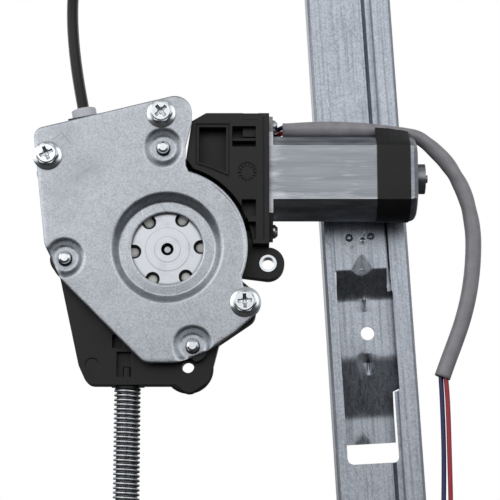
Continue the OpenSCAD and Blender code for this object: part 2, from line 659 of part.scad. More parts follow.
// Large pocket in the block's front, with a rim that a shallow groove sets off
pocket_outline = [[15.3, 61.1], [28.7, 61.1], [28.7, 38.4], [22, 41.3], [15.3, 43.6]];
pocket_floor = 12;
rim_w = 1.1;
rim_step = 0.5;
groove_w = 0.7;
module gearbox_housing() {
    color([0.08, 0.08, 0.09]) difference() {
        union() {
            ycyl([0, 0], wheel_case_r + case_wall, floor_y, lid_y);
            for (a = lid_screw_angles) ycyl(polar(lid_screw_r, a), 3.6, floor_y, lid_y);
            xcyl([motor_y, motor_z], tube_r, -24, flange_x);
            yplate(block_y, floor_y + 1) polygon(block_front);
            yplate(floor_y, motor_y + tube_r) polygon(block_back);
            xplate(38, flange_x) flange_outline();
            ycyl(ear_at, ear_r, ear_y[0], ear_y[1]);
            difference() {
                yplate(ear_y[0], ear_y[1]) polygon([[33, -8], [35, -12.2], [47.6, -13.8],
                    [49.4, -5.9], [49.4, 4], [36, 8]]);
                ycyl([0, 0], housing_edge_r + 0.4, ear_y[0] - over, floor_y);
            }
            for (a = arm_angles) yplate(floor_y, floor_y + arm_t) hull() {
                translate(polar(fixing_circle_r, a)) circle(r = 7.6, $fn = 32);
                translate(polar(24, a)) circle(r = 12, $fn = 32);
            }
        }
        ycyl([0, 0], wheel_case_r, floor_y + floor_t, lid_y + over);
        ycyl([0, 0], hub_r + 0.3, floor_y - over, floor_y + floor_t + over);
        xcyl([motor_y, motor_z], tube_bore_r, -17, 30);
        xcyl([motor_y, motor_z], 5, -21, 37);
        xcyl([motor_y, motor_z], shaft_r + 0.7, 36, 41);
        xcyl([motor_y, motor_z], 13.2, 40, flange_x + over);
        ycyl(ear_at, bush_r + 0.02, ear_y[0] - over, ear_y[1] + over);
        for (a = arm_angles)
            ycyl(polar(fixing_circle_r, a), screw_d / 2 + 0.2, floor_y - over, floor_y + arm_t + over);
        ycyl(lobe_hole, lobe_hole_r + hole_margin, floor_y - over, floor_y + arm_t + over);
        for (a = lid_screw_angles) ycyl(polar(lid_screw_r, a), 1.55, lid_y - 8, lid_y + over);
        for (s = [-1, 1])
            xcyl([motor_y, motor_z + s * motor_screw_gap / 2], 2.05, flange_x - 9, flange_x + over);
        yplate(block_y - over, pocket_floor) polygon(pocket_outline);
        yplate(block_y - over, block_y + rim_step) difference() {
            offset(delta = rim_w + groove_w) polygon(pocket_outline);
            offset(delta = rim_w) polygon(pocket_outline);
        }
        difference() {
            span_box([31.7, block_y - over, 51.4], [43.4, pocket_floor, 61.6]);
            span_box([31, 6, 54.6], [44, pocket_floor + 1, 56.2]);
            span_box([36.8, 7.5, 57], [44, pocket_floor + 1, 62]);
        }
        span_box([36.4, block_y - over, 16.4], [43.4, 11, 24.6]);
        span_box([38.8, block_y - over, 4.6], [43.4, 10, 13.4]);
        span_box([37, block_y - over, 65.2], [44.6, block_y + rim_step, 70]);
        span_box([46.9, block_y - over, 5], [46.9 + groove_w, block_y + rim_step, 66]);
        ycyl([39.1, 38.7], 4.6, block_y - over, block_y + 0.25);
    }
}

module gearbox_lid() {
    color([0.1, 0.1, 0.11]) difference() {
        union() {
            ycyl([0, 0], wheel_case_r + case_wall, lid_y, lid_y + lid_t);
            for (a = lid_screw_angles) ycyl(polar(lid_screw_r, a), 3.6, lid_y, lid_y + lid_t);
        }
        ycyl([0, 0], axle_r + 0.02, lid_y - over, lid_y + lid_t + over);
        for (a = lid_screw_angles)
            ycyl(polar(lid_screw_r, a), 1.8, lid_y - over, lid_y + lid_t + over);
        xcyl([motor_y, motor_z], tube_r + 0.2, -26, 60);
        yplate(lid_y - over, lid_y + lid_t + over) offset(delta = seat_gap) polygon(block_back);
    }
}

module lid_screws() {
    color([0.7, 0.7, 0.72])
        for (a = lid_screw_angles) {
            ycyl(polar(lid_screw_r, a), 1.5, lid_y - 7, lid_y + lid_t + 0.5);
            ycyl(polar(lid_screw_r, a), 3, lid_y + lid_t, lid_y + lid_t + 1.8);
        }
}

module ear_bush() {
    color([0.75, 0.75, 0.76]) difference() {
        ycyl(ear_at, bush_r, ear_y[0] - 0.6, ear_y[1] + 0.4);
        ycyl(ear_at, bush_bore_r, ear_y[0] - 2, ear_y[1] + 2);
    }
}

// Worm: a screw surface whose rings follow one thread, with five samples to each pitch
worm_turns = floor(worm_len / tooth_pitch);
worm_sides = 20;
worm_samples = [[0, 0], [0.26, 0], [0.4, 1], [0.6, 1], [0.74, 0]];
module worm() {
    n = worm_sides;
    q = len(worm_samples);
    rows = worm_turns * q;
    x0 = -(worm_turns / 2 + 0.5) * tooth_pitch;
    bore = shaft_r / cos(180 / n) + 0.02;
    function place(x, r, k) = [x, motor_y + r * sin(360 * k / n), motor_z + r * cos(360 * k / n)];
    body = [for (m = [0 : rows]) for (k = [0 : n - 1])
        let(s = worm_samples[m % q], turn = floor(m / q), live = turn > 0 && turn < worm_turns - 1)
        place(x0 + (turn + s[0] + k / n) * tooth_pitch,
            worm_root_r + (live ? s[1] : 0) * (worm_tip_r - worm_root_r), k)];
    a = len(body);
    xa = x0 - 1;
    xb = x0 + (worm_turns + 1) * tooth_pitch + 1;
    ends = [for (e = [[xa, worm_root_r], [xa, bore], [xb, worm_root_r], [xb, bore]])
        for (k = [0 : n - 1]) place(e[0], e[1], k)];
    function v(m, k) = k < n ? m * n + k : (m + q) * n + k - n;
    side = concat(
        [for (m = [0 : rows - 1]) for (k = [0 : n - 2]) [v(m, k), v(m, k + 1), v(m + 1, k + 1), v(m + 1, k)]],
        [for (m = [0 : rows - q - 1])
            [v(m, n - 1), v(m, n), v(m + 1, n), v(m + 1, n - 1)]],
        [for (k = [0 : n - 2]) [a + k, a + k + 1, v(0, k + 1), v(0, k)]],
        [[a + n - 1, a, v(0, 0)], [a + n - 1, v(q, 0), v(0, n - 1)]],
        [for (m = [0 : q - 1]) [a + n - 1, v(m, 0), v(m + 1, 0)]],
        [for (k = [0 : n - 2]) [v(rows, k), v(rows, k + 1), a + 2 * n + k + 1, a + 2 * n + k]],
        [[v(rows, n - 1), a + 2 * n, a + 3 * n - 1]],
        [for (m = [rows - q : rows - 1]) [a + 2 * n, v(m + 1, n - 1), v(m, n - 1)]],
        [[a + 2 * n, v(rows - q, n - 1), v(rows, 0)]],
        [for (k = [0 : n - 1]) [a + k, a + n + k, a + n + (k + 1) % n, a + (k + 1) % n]],
        [for (k = [0 : n - 1]) [a + n + k, a + 3 * n + k, a + 3 * n + (k + 1) % n, a + n + (k + 1) % n]],
        [for (k = [0 : n - 1])
            [a + 3 * n + k, a + 2 * n + k, a + 2 * n + (k + 1) % n, a + 3 * n + (k + 1) % n]]);
    color([0.68, 0.68, 0.7]) polyhedron(concat(body, ends), side, convexity = 8);
}

comm_x = flange_x - 3;
core_x = can_x + 10;
core_len = 42;
module armature_shaft() {
    color([0.72, 0.72, 0.74]) {
        xcyl([motor_y, motor_z], shaft_r, -20, can_end_x + 2.4);
    }
}

module armature_core() {
    color([0.5, 0.5, 0.52]) difference() {
        xcyl([motor_y, motor_z], core_r, core_x, core_x + core_len);
        xcyl([motor_y, motor_z], shaft_r + 0.02, core_x - over, core_x + core_len + over);
        for (i = [0 : 9]) translate([0, motor_y, motor_z]) rotate([i * 36, 0, 0])
            span_box([core_x - over, -1.1, 6.5], [core_x + core_len + over, 1.1, 14]);
    }
}

module armature_windings() {
    color([0.7, 0.36, 0.16]) difference() {
        union() {
            xcyl([motor_y, motor_z], 11.4, core_x - 4.4, core_x - 0.1);
            xcyl([motor_y, motor_z], 11.4, core_x + core_len + 0.1, core_x + core_len + 4.4);
            for (i = [0 : 9]) translate([0, motor_y, motor_z]) rotate([i * 36, 0, 0])
                span_box([core_x - 1, -0.95, 6.8], [core_x + core_len + 1, 0.95, 11]);
        }
        xcyl([motor_y, motor_z], shaft_r + 0.1, core_x - 6, core_x + core_len + 6);
    }
}

comm_r = 5.2;
module commutator() {
    color([0.75, 0.45, 0.25]) difference() {
        union() {
            xcyl([motor_y, motor_z], comm_r, comm_x, core_x - 4.5);
            xcyl([motor_y, motor_z], comm_r + 0.8, core_x - 5.4, core_x - 4.5);
        }
        xcyl([motor_y, motor_z], shaft_r + 0.02, comm_x - over, core_x);
    }
}

// Plain bush round the motor shaft
module shaft_bush(x0, x1, r) {
    difference() {
        xcyl([motor_y, motor_z], r, x0, x1);
        xcyl([motor_y, motor_z], shaft_r + run_gap, x0 - over, x1 + over);
    }
}

module gearbox_shaft_bush() {
    color([0.66, 0.52, 0.3]) {
        shaft_bush(-20.9, -17.1, 4.95);
        shaft_bush(31, 36.8, 4.95);
    }
}

module can_shaft_bush() {
    color([0.66, 0.52, 0.3]) shaft_bush(can_end_x - 1, can_end_x + 2.2, boss_r - can_wall - 0.1);
}

module thrust_button() {
    color([0.85, 0.85, 0.8])
        xcyl([motor_y, motor_z], 3, can_end_x + 2.45, can_end_x + boss_len - can_wall);
}

// Can section turned about the motor's axis, with its two flats cut by a chamfered slab
can_round = 3.6;
module can_form(r, flats, x0, x1, e) {
    intersection() {
        translate([0, motor_y, motor_z]) rotate([0, 90, 0]) rotate_extrude($fn = 96)
            polygon(concat([[0, x0], [r, x0]], [for (i = [0 : 5]) [r - e + e * cos(18 * i), x1 - e + e * sin(18 * i)]],
                [[0, x1]]));
        translate([0, 0, motor_z - r - 1]) linear_extrude(2 * r + 2)
            polygon([[x0 - 1, motor_y - flats / 2], [x1 - 2, motor_y - flats / 2], [x1 + 0.1, motor_y - flats / 2 + 2.1],
                [x1 + 0.1, motor_y + flats / 2 - 2.1], [x1 - 2, motor_y + flats / 2], [x0 - 1, motor_y + flats / 2]]);
    }
}

module motor_can() {
    color([0.7, 0.71, 0.73]) difference() {
        union() {
            can_form(can_r, can_flats, flange_x + 0.5, can_end_x, can_round);
            xplate(flange_x, can_x) flange_outline();
            xcyl([motor_y, motor_z], boss_r, can_end_x - 1, can_end_x + boss_len);
            xcyl([motor_y, motor_z], 2, can_end_x, can_end_x + boss_len + 1.4);
        }
        can_form(can_r - can_wall, can_flats - 2 * can_wall, flange_x - 1, can_end_x - can_wall, can_round - 1);
        xcyl([motor_y, motor_z], boss_r - can_wall, can_end_x - 4, can_end_x + boss_len - can_wall);
        for (s = [-1, 1])
            xcyl([motor_y, motor_z + s * motor_screw_gap / 2], 2.2, flange_x - 1, can_x + 1);
        xcyl(grommet_at, grommet_r, flange_x - 1, can_x + 1);
    }
}

module field_magnets() {
    inner = core_r + 1;
    outer = can_r - can_wall - 0.1;
    color([0.25, 0.25, 0.27]) for (s = [0, 180])
        translate([0, motor_y, motor_z]) rotate([s, 0, 0]) rotate([0, 90, 0]) rotate([0, 0, 180 - 42])
            rotate_extrude(angle = 84) polygon([[inner, core_x - 1], [outer, core_x - 1],
                [outer, core_x + core_len + 1], [inner, core_x + core_len + 1]]);
}

// Brush gear about the motor's axis: a disc with a box for each brush and its spring
brush_len = 5;
brush_x = flange_x + 0.4;
brush_top = 11.2;
box_half = 3.4;
spring_room = 2.6;
module brush_holder() {
    reach = brush_top + spring_room;
    color([0.2, 0.16, 0.12]) translate([0, motor_y, motor_z]) difference() {
        union() {
            rotate([0, 90, 0]) translate([0, 0, flange_x - 6]) cylinder(r = 12.9, h = 2);
            for (s = [-1, 1]) {
                span_box([flange_x - 4.5, -box_half, s > 0 ? 6.4 : -12.4],
                    [brush_x + brush_len + 0.8, box_half, s > 0 ? 12.4 : -6.4]);
                span_box([flange_x + 0.1, -box_half, s > 0 ? 6.4 : -reach - 0.8],
                    [brush_x + brush_len + 0.8, box_half, s > 0 ? reach + 0.8 : -6.4]);
            }
        }
        rotate([0, 90, 0]) translate([0, 0, flange_x - 7]) cylinder(r = 4.5, h = 12);
        span_box([brush_x - 0.1, -2.1, -reach], [brush_x + brush_len + 0.1, 2.1, reach]);
    }
}

module carbon_brushes() {
    color([0.18, 0.18, 0.19]) translate([0, motor_y, motor_z]) for (s = [-1, 1])
        span_box([brush_x, -2, s > 0 ? comm_r + 0.08 : -brush_top],
            [brush_x + brush_len, 2, s > 0 ? brush_top : -comm_r - 0.08]);
}

// A close coil drawn as a tube with one round bead for each turn
module beaded_coil(r, wire, pitch, turns) {
    rotate_extrude() polygon(concat(
        [[r - wire, 0]],
        [for (i = [0 : turns - 1]) for (k = [0 : 4])
            [r - wire / 2 + wire / 2 * sin(180 * k / 4), pitch * (i + 0.5) - pitch / 2 * cos(180 * k / 4)]],
        [[r - wire, pitch * turns]]));
}

module brush_springs() {
    color([0.7, 0.7, 0.7]) for (s = [-1, 1])
        translate([brush_x + brush_len / 2, motor_y, motor_z]) rotate([s > 0 ? 0 : 180, 0, 0])
            translate([0, 0, brush_top + 0.1]) beaded_coil(1.8, 0.5, (spring_room - 0.2) / 3, 3);
}

module motor_screws() {
    color([0.75, 0.75, 0.77]) for (s = [-1, 1])
        translate([can_x, motor_y, motor_z + s * motor_screw_gap / 2]) rotate([0, 90, 0]) {
            translate([0, 0, -10]) cylinder(r = 2, h = 10.2);
            cylinder(r = 3.5, h = 1);
            translate([0, 0, 1]) cylinder(r1 = 3.5, r2 = 2.2, h = 1.4);
        }
}

// Tape wound round can and sleeve: the taut outline of both, one tape thick
tape_x = [103.6, 120.2];
tape_t = 0.5;
module tape_outline(grow) {
    hull() {
        intersection() {
            translate([motor_y, motor_z]) circle(r = can_r + grow, $fn = 96);
            translate([motor_y - can_flats / 2 - grow, motor_z - 40]) square([can_flats + 2 * grow, 80]);
        }
        translate([24.5, 65]) circle(r = sleeve_d / 2 + grow, $fn = 32);
    }
}
module tape_wrap() {
    color([0.05, 0.05, 0.055]) xplate(tape_x[0], tape_x[1]) difference() {
        tape_outline(tape_t + 0.05);
        tape_outline(0.05);
    }
}

// Rubber grommet through the can's flange, behind the upper motor screw
grommet_at = [33, 66.2];
grommet_r = 3.4;
grommet_face_x = can_x + 1.2;
module wire_grommet() {
    color([0.07, 0.07, 0.07]) {
        xcyl(grommet_at, grommet_r - 0.05, flange_x + 0.1, can_x + 0.1);
        xcyl(grommet_at, grommet_r + 0.8, can_x, grommet_face_x);
    }
}

// Wire from the grommet's face to the sleeve's end, cut flat at both
module wire_lead(height) {
    start = sleeve_route[0];
    intersection() {
        bar([grommet_face_x - 2, grommet_at[0] + 1.5, height], [start[0] + 1, start[1] + 0.4, height],
            wire_d / 2);
        span_box([grommet_face_x, 0, 0], [start[0], 60, 100]);
    }
}

module harness_sleeve() {
    color([0.5, 0.51, 0.52]) tube(smooth(sleeve_route, 2), sleeve_d / 2, 10);
}

module blue_wire() {
    color([0.1, 0.25, 0.6]) {
        tube(smooth(blue_route, 2), wire_d / 2, 8);
        wire_lead(sleeve_route[0][2] + 1.4);
    }
}

module red_wire() {
    color([0.7, 0.1, 0.15]) {
        tube(smooth(red_route, 2), wire_d / 2, 8);
        wire_lead(sleeve_route[0][2] - 1.4);
    }
}

connector_size = [12, 8, 24];
connector_wall = 1.4;
mouth_depth = 12;
pin_len = 7;
module harness_connector() {
    c = connector_top;
    s = connector_size;
    color([0.85, 0.85, 0.82]) difference() {
        span_box([c[0] - s[0] / 2, c[1] - s[1] / 2, c[2] - s[2]], [c[0] + s[0] / 2, c[1] + s[1] / 2, c[2]]);
        for (r = [blue_route, red_route])
            translate([r[len(r) - 1][0], c[1], r[len(r) - 1][2] - 0.02]) cylinder(r = wire_d / 2 + 0.15, h = 5);
        span_box([c[0] - s[0] / 2 + connector_wall, c[1] - s[1] / 2 + connector_wall, c[2] - s[2] - over],
            [c[0] + s[0] / 2 - connector_wall, c[1] + s[1] / 2 - connector_wall, c[2] - s[2] + mouth_depth]);
    }
}

// Two blade contacts that stand in the connector's mouth
module connector_pins() {
    c = connector_top;
    base = c[2] - connector_size[2] + mouth_depth;
    color([0.8, 0.7, 0.45]) for (r = [blue_route, red_route]) let(x = r[len(r) - 1][0])
        span_box([x - 0.4, c[1] - 1.4, base - pin_len], [x + 0.4, c[1] + 1.4, base]);
}

collar_r = 6.1;
collar_t = 5;
socket_len = 6;
conduit_slot_r = conduit_d / 2 + 0.05;
cable_bore_r = cable_d / 2 + 0.15;

// Conduit ferrule along Z: its shank reaches down from zero, its collar stands above
module ferrule(collar) {
    difference() {
        union() {
            translate([0, 0, -shank_len + 0.1]) cylinder(r = seat_r - 0.1, h = shank_len);
            cylinder(r = collar_r, h = collar);
        }
        translate([0, 0, collar - socket_len]) cylinder(r = conduit_slot_r, h = socket_len + over);
        translate([0, 0, -shank_len - over]) cylinder(r = cable_bore_r, h = shank_len + collar);
    }
}

module at_upper_mouth() {
    translate(deep(upper_mouth, upper_feed_y)) rotate([0, -upper_lean, 0]) children();
}

module at_lower_mouth() {
    translate(deep(lower_mouth, lower_feed_y)) rotate([180, 0, 0]) children();
}

lower_collar_t = 1.6;
module upper_ferrule() {
    color([0.72, 0.72, 0.7]) at_upper_mouth() ferrule(collar_t);
}

module lower_ferrule() {
    color([0.06, 0.06, 0.07]) at_lower_mouth() ferrule(lower_collar_t);
}

spring_len = spring_pitch * spring_turns;
module conduit_spring() {
    color([0.7, 0.71, 0.72]) at_lower_mouth() translate([0, 0, lower_collar_t])
        beaded_coil(spring_d / 2, spring_wire, spring_pitch, spring_turns);
}

module spring_collar() {
    color([0.06, 0.06, 0.07]) at_lower_mouth() translate([0, 0, lower_collar_t + spring_len])
        difference() {
            union() {
                cylinder(r = spring_d / 2, h = 4);
                translate([0, 0, -4]) cylinder(r = spring_d / 2 - spring_wire - 0.1, h = 8);
            }
            translate([0, 0, -5]) cylinder(r = conduit_slot_r, h = 12);
        }
}

// Ends of the conduits at the rail, as places in the drive unit's frame
rail_mouth_x = pulley_x - 41;
rail_across = [cos(rail_tilt), 0, sin(rail_tilt)];
function rail_mouth(z) = let(p = rail_point(rail_mouth_x, z)) [p[0], strand_y, p[1]];
bend_steps = 44;
conduit_sides = 10;
upper_start = deep(upper_mouth + upper_along * (collar_t - socket_len + 0.1), upper_feed_y);
upper_bend = deep(upper_mouth + upper_along * 12, upper_feed_y);
upper_route = concat([upper_start],
    bend(upper_bend, deep(upper_along, 0) * 92, rail_mouth(top_pulley_z + pulley_r), rail_across * 84, bend_steps),
    [rail_mouth(top_pulley_z + pulley_r) + rail_across * (socket_len - 0.2)]);
lower_bend_z = lower_mouth[1] - lower_collar_t - spring_len - 8;
lower_route = concat(
    [[lower_mouth[0], lower_feed_y, lower_mouth[1] - lower_collar_t + socket_len - 0.1]],
    bend([lower_mouth[0], lower_feed_y, lower_bend_z], [0, 0, -90],
        rail_mouth(bottom_pulley_z - pulley_r), rail_across * 80, bend_steps),
    [rail_mouth(bottom_pulley_z - pulley_r) + rail_across * (socket_len - 0.2)]);

module upper_conduit() {
    color([0.05, 0.05, 0.055]) tube(upper_route, conduit_d / 2, conduit_sides);
}

module lower_conduit() {
    color([0.05, 0.05, 0.055]) tube(lower_route, conduit_d / 2, conduit_sides);
}

module feed_cables() {
    color([0.62, 0.62, 0.63]) {
        bar(deep(upper_tangent, upper_feed_y), deep(upper_foot, upper_feed_y), cable_d / 2);
        bar(deep(upper_foot, upper_feed_y), upper_start, cable_d / 2);
        bar(deep(lower_tangent, lower_feed_y), deep(lower_foot, lower_feed_y), cable_d / 2);
        bar(deep(lower_foot, lower_feed_y), lower_route[0], cable_d / 2);
    }
}

// Sheet of one thickness that follows a bent line, its second face on the line's left
function left_of(a, b) = let(d = unit(b - a)) [-d[1], d[0]];
function strip(p, t) = let(k = len(p)) concat(p, [for (i = [k - 1 : -1 : 0])
    let(u = i > 0 ? left_of(p[i - 1], p[i]) : left_of(p[0], p[1]),
        v = i < k - 1 ? left_of(p[i], p[i + 1]) : u, m = unit(u + v))
    p[i] + m * (t / (m * u))]);

wall_back = rail_y + rail_depth;
rail_profile = strip([
    [rail_left, wall_back], [rail_left + 0.6, rail_y + 1.4], [rail_left + 2, rail_y],
    [7.6, rail_y], [9.9, rail_y + 3.8], [12.5, rail_y + 3.8], [13.2, rail_y],
    [rail_right - 1.4, rail_y], [rail_right, rail_y + 1.4], [rail_right, wall_back],
    [rail_right - lip_w, wall_back]], rail_t);
tongue_x = [-20, 20];
tongue_hole_z = tongue_len - 7.5;

// Tongue at one end of the channel, drawn upwards from the channel's end
module tongue() {
    yplate(rail_y, rail_y + rail_t) polygon(rounded([
        [tongue_x[0], -1, 0], [tongue_x[1], -1, 0], [tongue_x[1], 34, 10], [10, tongue_len, 9],
        [-14, tongue_len, 9], [tongue_x[0], 34, 10]]));
}

clinches = [[-6.7, 49], [4.5, 49]];
clinch_r = 1.9;
window_z = [-67, 32];
window_x = [-14.9, 11.4];
// Middle of the rail's window, where the bracket is wider
window_wide = 13.7;
window_steps = [-31, 20.6];
module rail() {
    color([0.7, 0.71, 0.72]) difference() {
        union() {
            translate([0, 0, -rail_down]) linear_extrude(rail_up + rail_down) polygon(rail_profile);
            translate([0, 0, rail_up]) tongue();
            translate([0, 0, -rail_down]) mirror([0, 0, 1]) tongue();
        }
        yplate(rail_y - over, rail_y + 5.5) polygon(rounded([
            [window_x[0], window_z[0], 3], [window_x[1], window_z[0], 3],
            [window_x[1], window_steps[0], 0], [window_wide, window_steps[0], 1],
            [window_wide, window_steps[1], 1], [window_x[1], window_steps[1], 0],
            [window_x[1], window_z[1], 1], [window_x[0], window_z[1], 1]], 3));
        for (c = clinches) ycyl(c, clinch_r + 0.05, rail_y - over, rail_y + rail_t + over);
        for (z = [top_pulley_z, bottom_pulley_z])
            ycyl([pulley_x, z], pulley_pin_r + 0.02, rail_y - over, rail_y + rail_t + over);
        for (z = [rail_up + tongue_hole_z, -rail_down - tongue_hole_z])
            ycyl([pulley_x, z], fixing_hole_d / 2, rail_y - over, rail_y + rail_t + over);
    }
}

// Bracket: a strip stepped back in two slopes, seen from the side as depth and height
bracket_line = [
    [rail_y - bracket_t, 69], [rail_y - bracket_t, 31.6], [plateau_y, 18.4], [plateau_y, -13],
    [foot_y, -42], [foot_y, -56]];
bracket_right = 11.3;
// The bracket's middle is wider on the right; it ends above the carrier's path
bracket_wide = 13.5;
wide_z = [-28, 19.4];
pip = [0, 47];
module bent_strip(x0, x1) {
    translate([x1, 0, 0]) rotate([0, -90, 0]) linear_extrude(x1 - x0)
        polygon([for (p = strip(bracket_line, bracket_t)) [p[1], p[0]]]);
}
module rail_bracket() {
    color([0.68, 0.69, 0.7]) difference() {
        union() {
            bent_strip(bracket_right - bracket_w, bracket_right);
            intersection() {
                bent_strip(bracket_right - 2, bracket_wide);
                span_box([0, rail_y, wide_z[0]], [bracket_wide + 1, foot_y, wide_z[1]]);
            }
            for (c = clinches) ycyl(c, clinch_r, rail_y - bracket_t, rail_y + rail_t + 0.6);
        }
        ycyl([0, 0], fixing_hole_d / 2, plateau_y - over, plateau_y + bracket_t + over);
        for (c = clinches) difference() {
            ycyl(c, clinch_r - 0.2, rail_y - bracket_t - over, rail_y - bracket_t + 0.9);
            ycyl(c, clinch_r - 0.8, rail_y - bracket_t - 1, rail_y);
        }
        ycyl(clinches[1], clinch_r - 0.2, rail_y - bracket_t - over, rail_y - 0.2);
        ycyl(pip, 0.9, rail_y - bracket_t - over, rail_y - bracket_t + 0.4);
    }
}

pulley_out = 20.6;
module pulley(z) {
    y0 = strand_y - pulley_w / 2;
    y1 = strand_y + pulley_w / 2;
    floor_r = pulley_r - cable_d / 2 - 0.15;
    color([0.85, 0.85, 0.82]) translate([pulley_x, 0, z]) difference() {
        yturn([[pulley_pin_r + run_gap, y0], [pulley_out - 0.6, y0], [pulley_out, y0 + 0.8],
            [floor_r, strand_y - 0.95], [floor_r, strand_y + 0.95], [pulley_out, y1 - 0.8],
            [pulley_out - 0.6, y1], [pulley_pin_r + run_gap, y1]]);
        for (i = [0 : 5]) rotate([0, i * 60, 0]) ycyl([11, 0], 2.6, y0 - over, y1 + over);
    }
}
module top_pulley() { pulley(top_pulley_z); }
module bottom_pulley() { pulley(bottom_pulley_z); }

guard_y = [strand_y + pulley_w / 2 + 0.4, strand_y + pulley_w / 2 + 3.4];
module pulley_pin(z) {
    color([0.72, 0.73, 0.74]) translate([pulley_x, 0, z]) {
        ycyl([0, 0], pulley_pin_r, rail_y - 0.2, guard_y[1] + 0.2);
        ycyl([0, 0], 5.4, rail_y - 1.5, rail_y);
        ycyl([0, 0], 5, guard_y[1], guard_y[1] + 1.4);
    }
}
module top_pulley_pin() { pulley_pin(top_pulley_z); }
module bottom_pulley_pin() { pulley_pin(bottom_pulley_z); }

guard_in = pulley_out + 0.7;
guard_out = guard_in + 2.4;
face_y = rail_y + rail_t;

// Guard over one pulley, drawn upwards about the pulley's centre, with the ferrule's socket
module guard() {
    color([0.07, 0.07, 0.08]) difference() {
        union() {
            ycyl([0, 0], guard_out, guard_y[0], guard_y[1]);
            intersection() {
                difference() {
                    ycyl([0, 0], guard_out, face_y, guard_y[1]);
                    ycyl([0, 0], guard_in, face_y - 1, guard_y[1] + 1);
                }
                yplate(face_y, guard_y[1]) polygon([[0, 0], [30, 4], [30, 30], [0, 30]]);
            }
            span_box([-38, face_y, pulley_r - 6.6], [-12, guard_y[1], pulley_r + 6.6]);
            yplate(guard_y[0], guard_y[1]) polygon([[-38, pulley_r - 6.6], [-12, -18], [0, 0], [0, 20]]);
        }
        ycyl([0, 0], guard_in, face_y - 1, guard_y[0]);
        ycyl([0, 0], pulley_pin_r + 0.02, guard_y[0] - 1, guard_y[1] + 1);
        translate([0, strand_y, pulley_r]) {
            rotate([0, -90, 0]) cylinder(r = cable_bore_r + 0.6, h = 40);
            translate([-29, 0, 0]) rotate([0, -90, 0]) cylinder(r = seat_r, h = 12);
        }
    }
}
module top_guard() { translate([pulley_x, 0, top_pulley_z]) guard(); }
module bottom_guard() { translate([pulley_x, 0, bottom_pulley_z]) mirror([0, 0, 1]) guard(); }

module rail_ferrules() {
    color([0.06, 0.06, 0.07]) for (z = [top_pulley_z + pulley_r, bottom_pulley_z - pulley_r])
        translate([pulley_x - 38, strand_y, z]) rotate([0, -90, 0]) ferrule(3);
}

module quarter_turn(z, a) {
    translate([pulley_x, strand_y, z]) rotate([90, 0, 0]) rotate([0, 0, a])
        rotate_extrude(angle = 90) translate([pulley_r, 0]) circle(d = cable_d);
}
module lift_cable() {
    x0 = rail_mouth_x + socket_len;
    color([0.6, 0.6, 0.61]) {
        xcyl([strand_y, top_pulley_z + pulley_r], cable_d / 2, x0, pulley_x);
        quarter_turn(top_pulley_z, 0);
        translate([strand_x, strand_y, bottom_pulley_z])
            cylinder(d = cable_d, h = top_pulley_z - bottom_pulley_z);
        quarter_turn(bottom_pulley_z, -90);
        xcyl([strand_y, bottom_pulley_z - pulley_r], cable_d / 2, x0, pulley_x);
    }
}

// The carrier's pieces, drawn about its own middle height
shoe_z = [24, 38];
shoe_block = [channel_x + 0.7, rail_right - rail_t - 0.5];
shoe_neck = rail_right - lip_w - 0.4;
module at_carrier() { translate([0, 0, carrier_rest_z]) children(); }

plate_right = 62;
module glass_carrier() {
    h = carrier_h / 2;
    color([0.66, 0.67, 0.69]) at_carrier() difference() {
        union() {
            yplate(carrier_y, carrier_y + carrier_t) polygon(rounded([
                [13.4, -h, 3], [30, -h, 6], [36, -h + 3, 6], [plate_right, -h + 3, 6],
                [plate_right, h - 3, 6], [36, h - 3, 6], [30, h, 6], [13.4, h, 3]], 4));
            span_box([plate_right - carrier_t, carrier_y - 4.4, -h + 12],
                [plate_right, carrier_y + carrier_t, h - 12]);
            for (s = [-1, 1]) ycyl([44, s * glass_hole_gap / 2], 8.5, carrier_y, carrier_y + carrier_t + 1);
        }
        for (s = [-1, 1])
            ycyl([44, s * glass_hole_gap / 2], glass_hole_d / 2, carrier_y - 1, carrier_y + 5);
        ycyl([44, 0], 9, carrier_y - 1, carrier_y + 5);
        for (s = [-1, 1]) for (z = [(shoe_z[0] + shoe_z[1]) / 2, 6])
            ycyl([strand_x, s * z], rivet_r + 0.05, carrier_y - 1, carrier_y + 5);
    }
}

module carrier_shoes() {
    outline = [[shoe_block[0], face_y + 0.5], [shoe_block[1], face_y + 0.5],
        [shoe_block[1], wall_back - rail_t - 0.4], [shoe_neck, wall_back - rail_t - 0.4],
        [shoe_neck, carrier_y], [shoe_block[0], carrier_y]];
    color([0.9, 0.9, 0.87]) at_carrier() for (s = [-1, 1])
        difference() {
            translate([0, 0, s > 0 ? shoe_z[0] : -shoe_z[1]])
                linear_extrude(shoe_z[1] - shoe_z[0]) polygon(outline);
            translate([strand_x, strand_y, -60]) cylinder(d = cable_d + 1.2, h = 120);
            ycyl([strand_x, s * (shoe_z[0] + shoe_z[1]) / 2], rivet_r, 55, carrier_y + 1);
        }
}

anchor_h = 20;
nipple_r = 2.4;
nipple_len = 5;
module cable_anchor() {
    color([0.62, 0.62, 0.64]) at_carrier() difference() {
        span_box([shoe_block[0], face_y + 0.8, -anchor_h], [shoe_neck, carrier_y, anchor_h]);
        translate([strand_x, strand_y, -60]) cylinder(d = cable_d + 1.2, h = 120);
        for (z = [-anchor_h + 3, anchor_h - 3 - nipple_len])
            translate([strand_x, strand_y, z - 0.1]) cylinder(r = nipple_r + 0.1, h = nipple_len + 0.2);
        for (s = [-1, 1]) ycyl([strand_x, s * 6], rivet_r, 55, carrier_y + 1);
        for (z = [-anchor_h + 3, anchor_h - 3 - nipple_len])
            span_box([strand_x - nipple_r, face_y, z], [strand_x + nipple_r, strand_y, z + nipple_len]);
    }
}

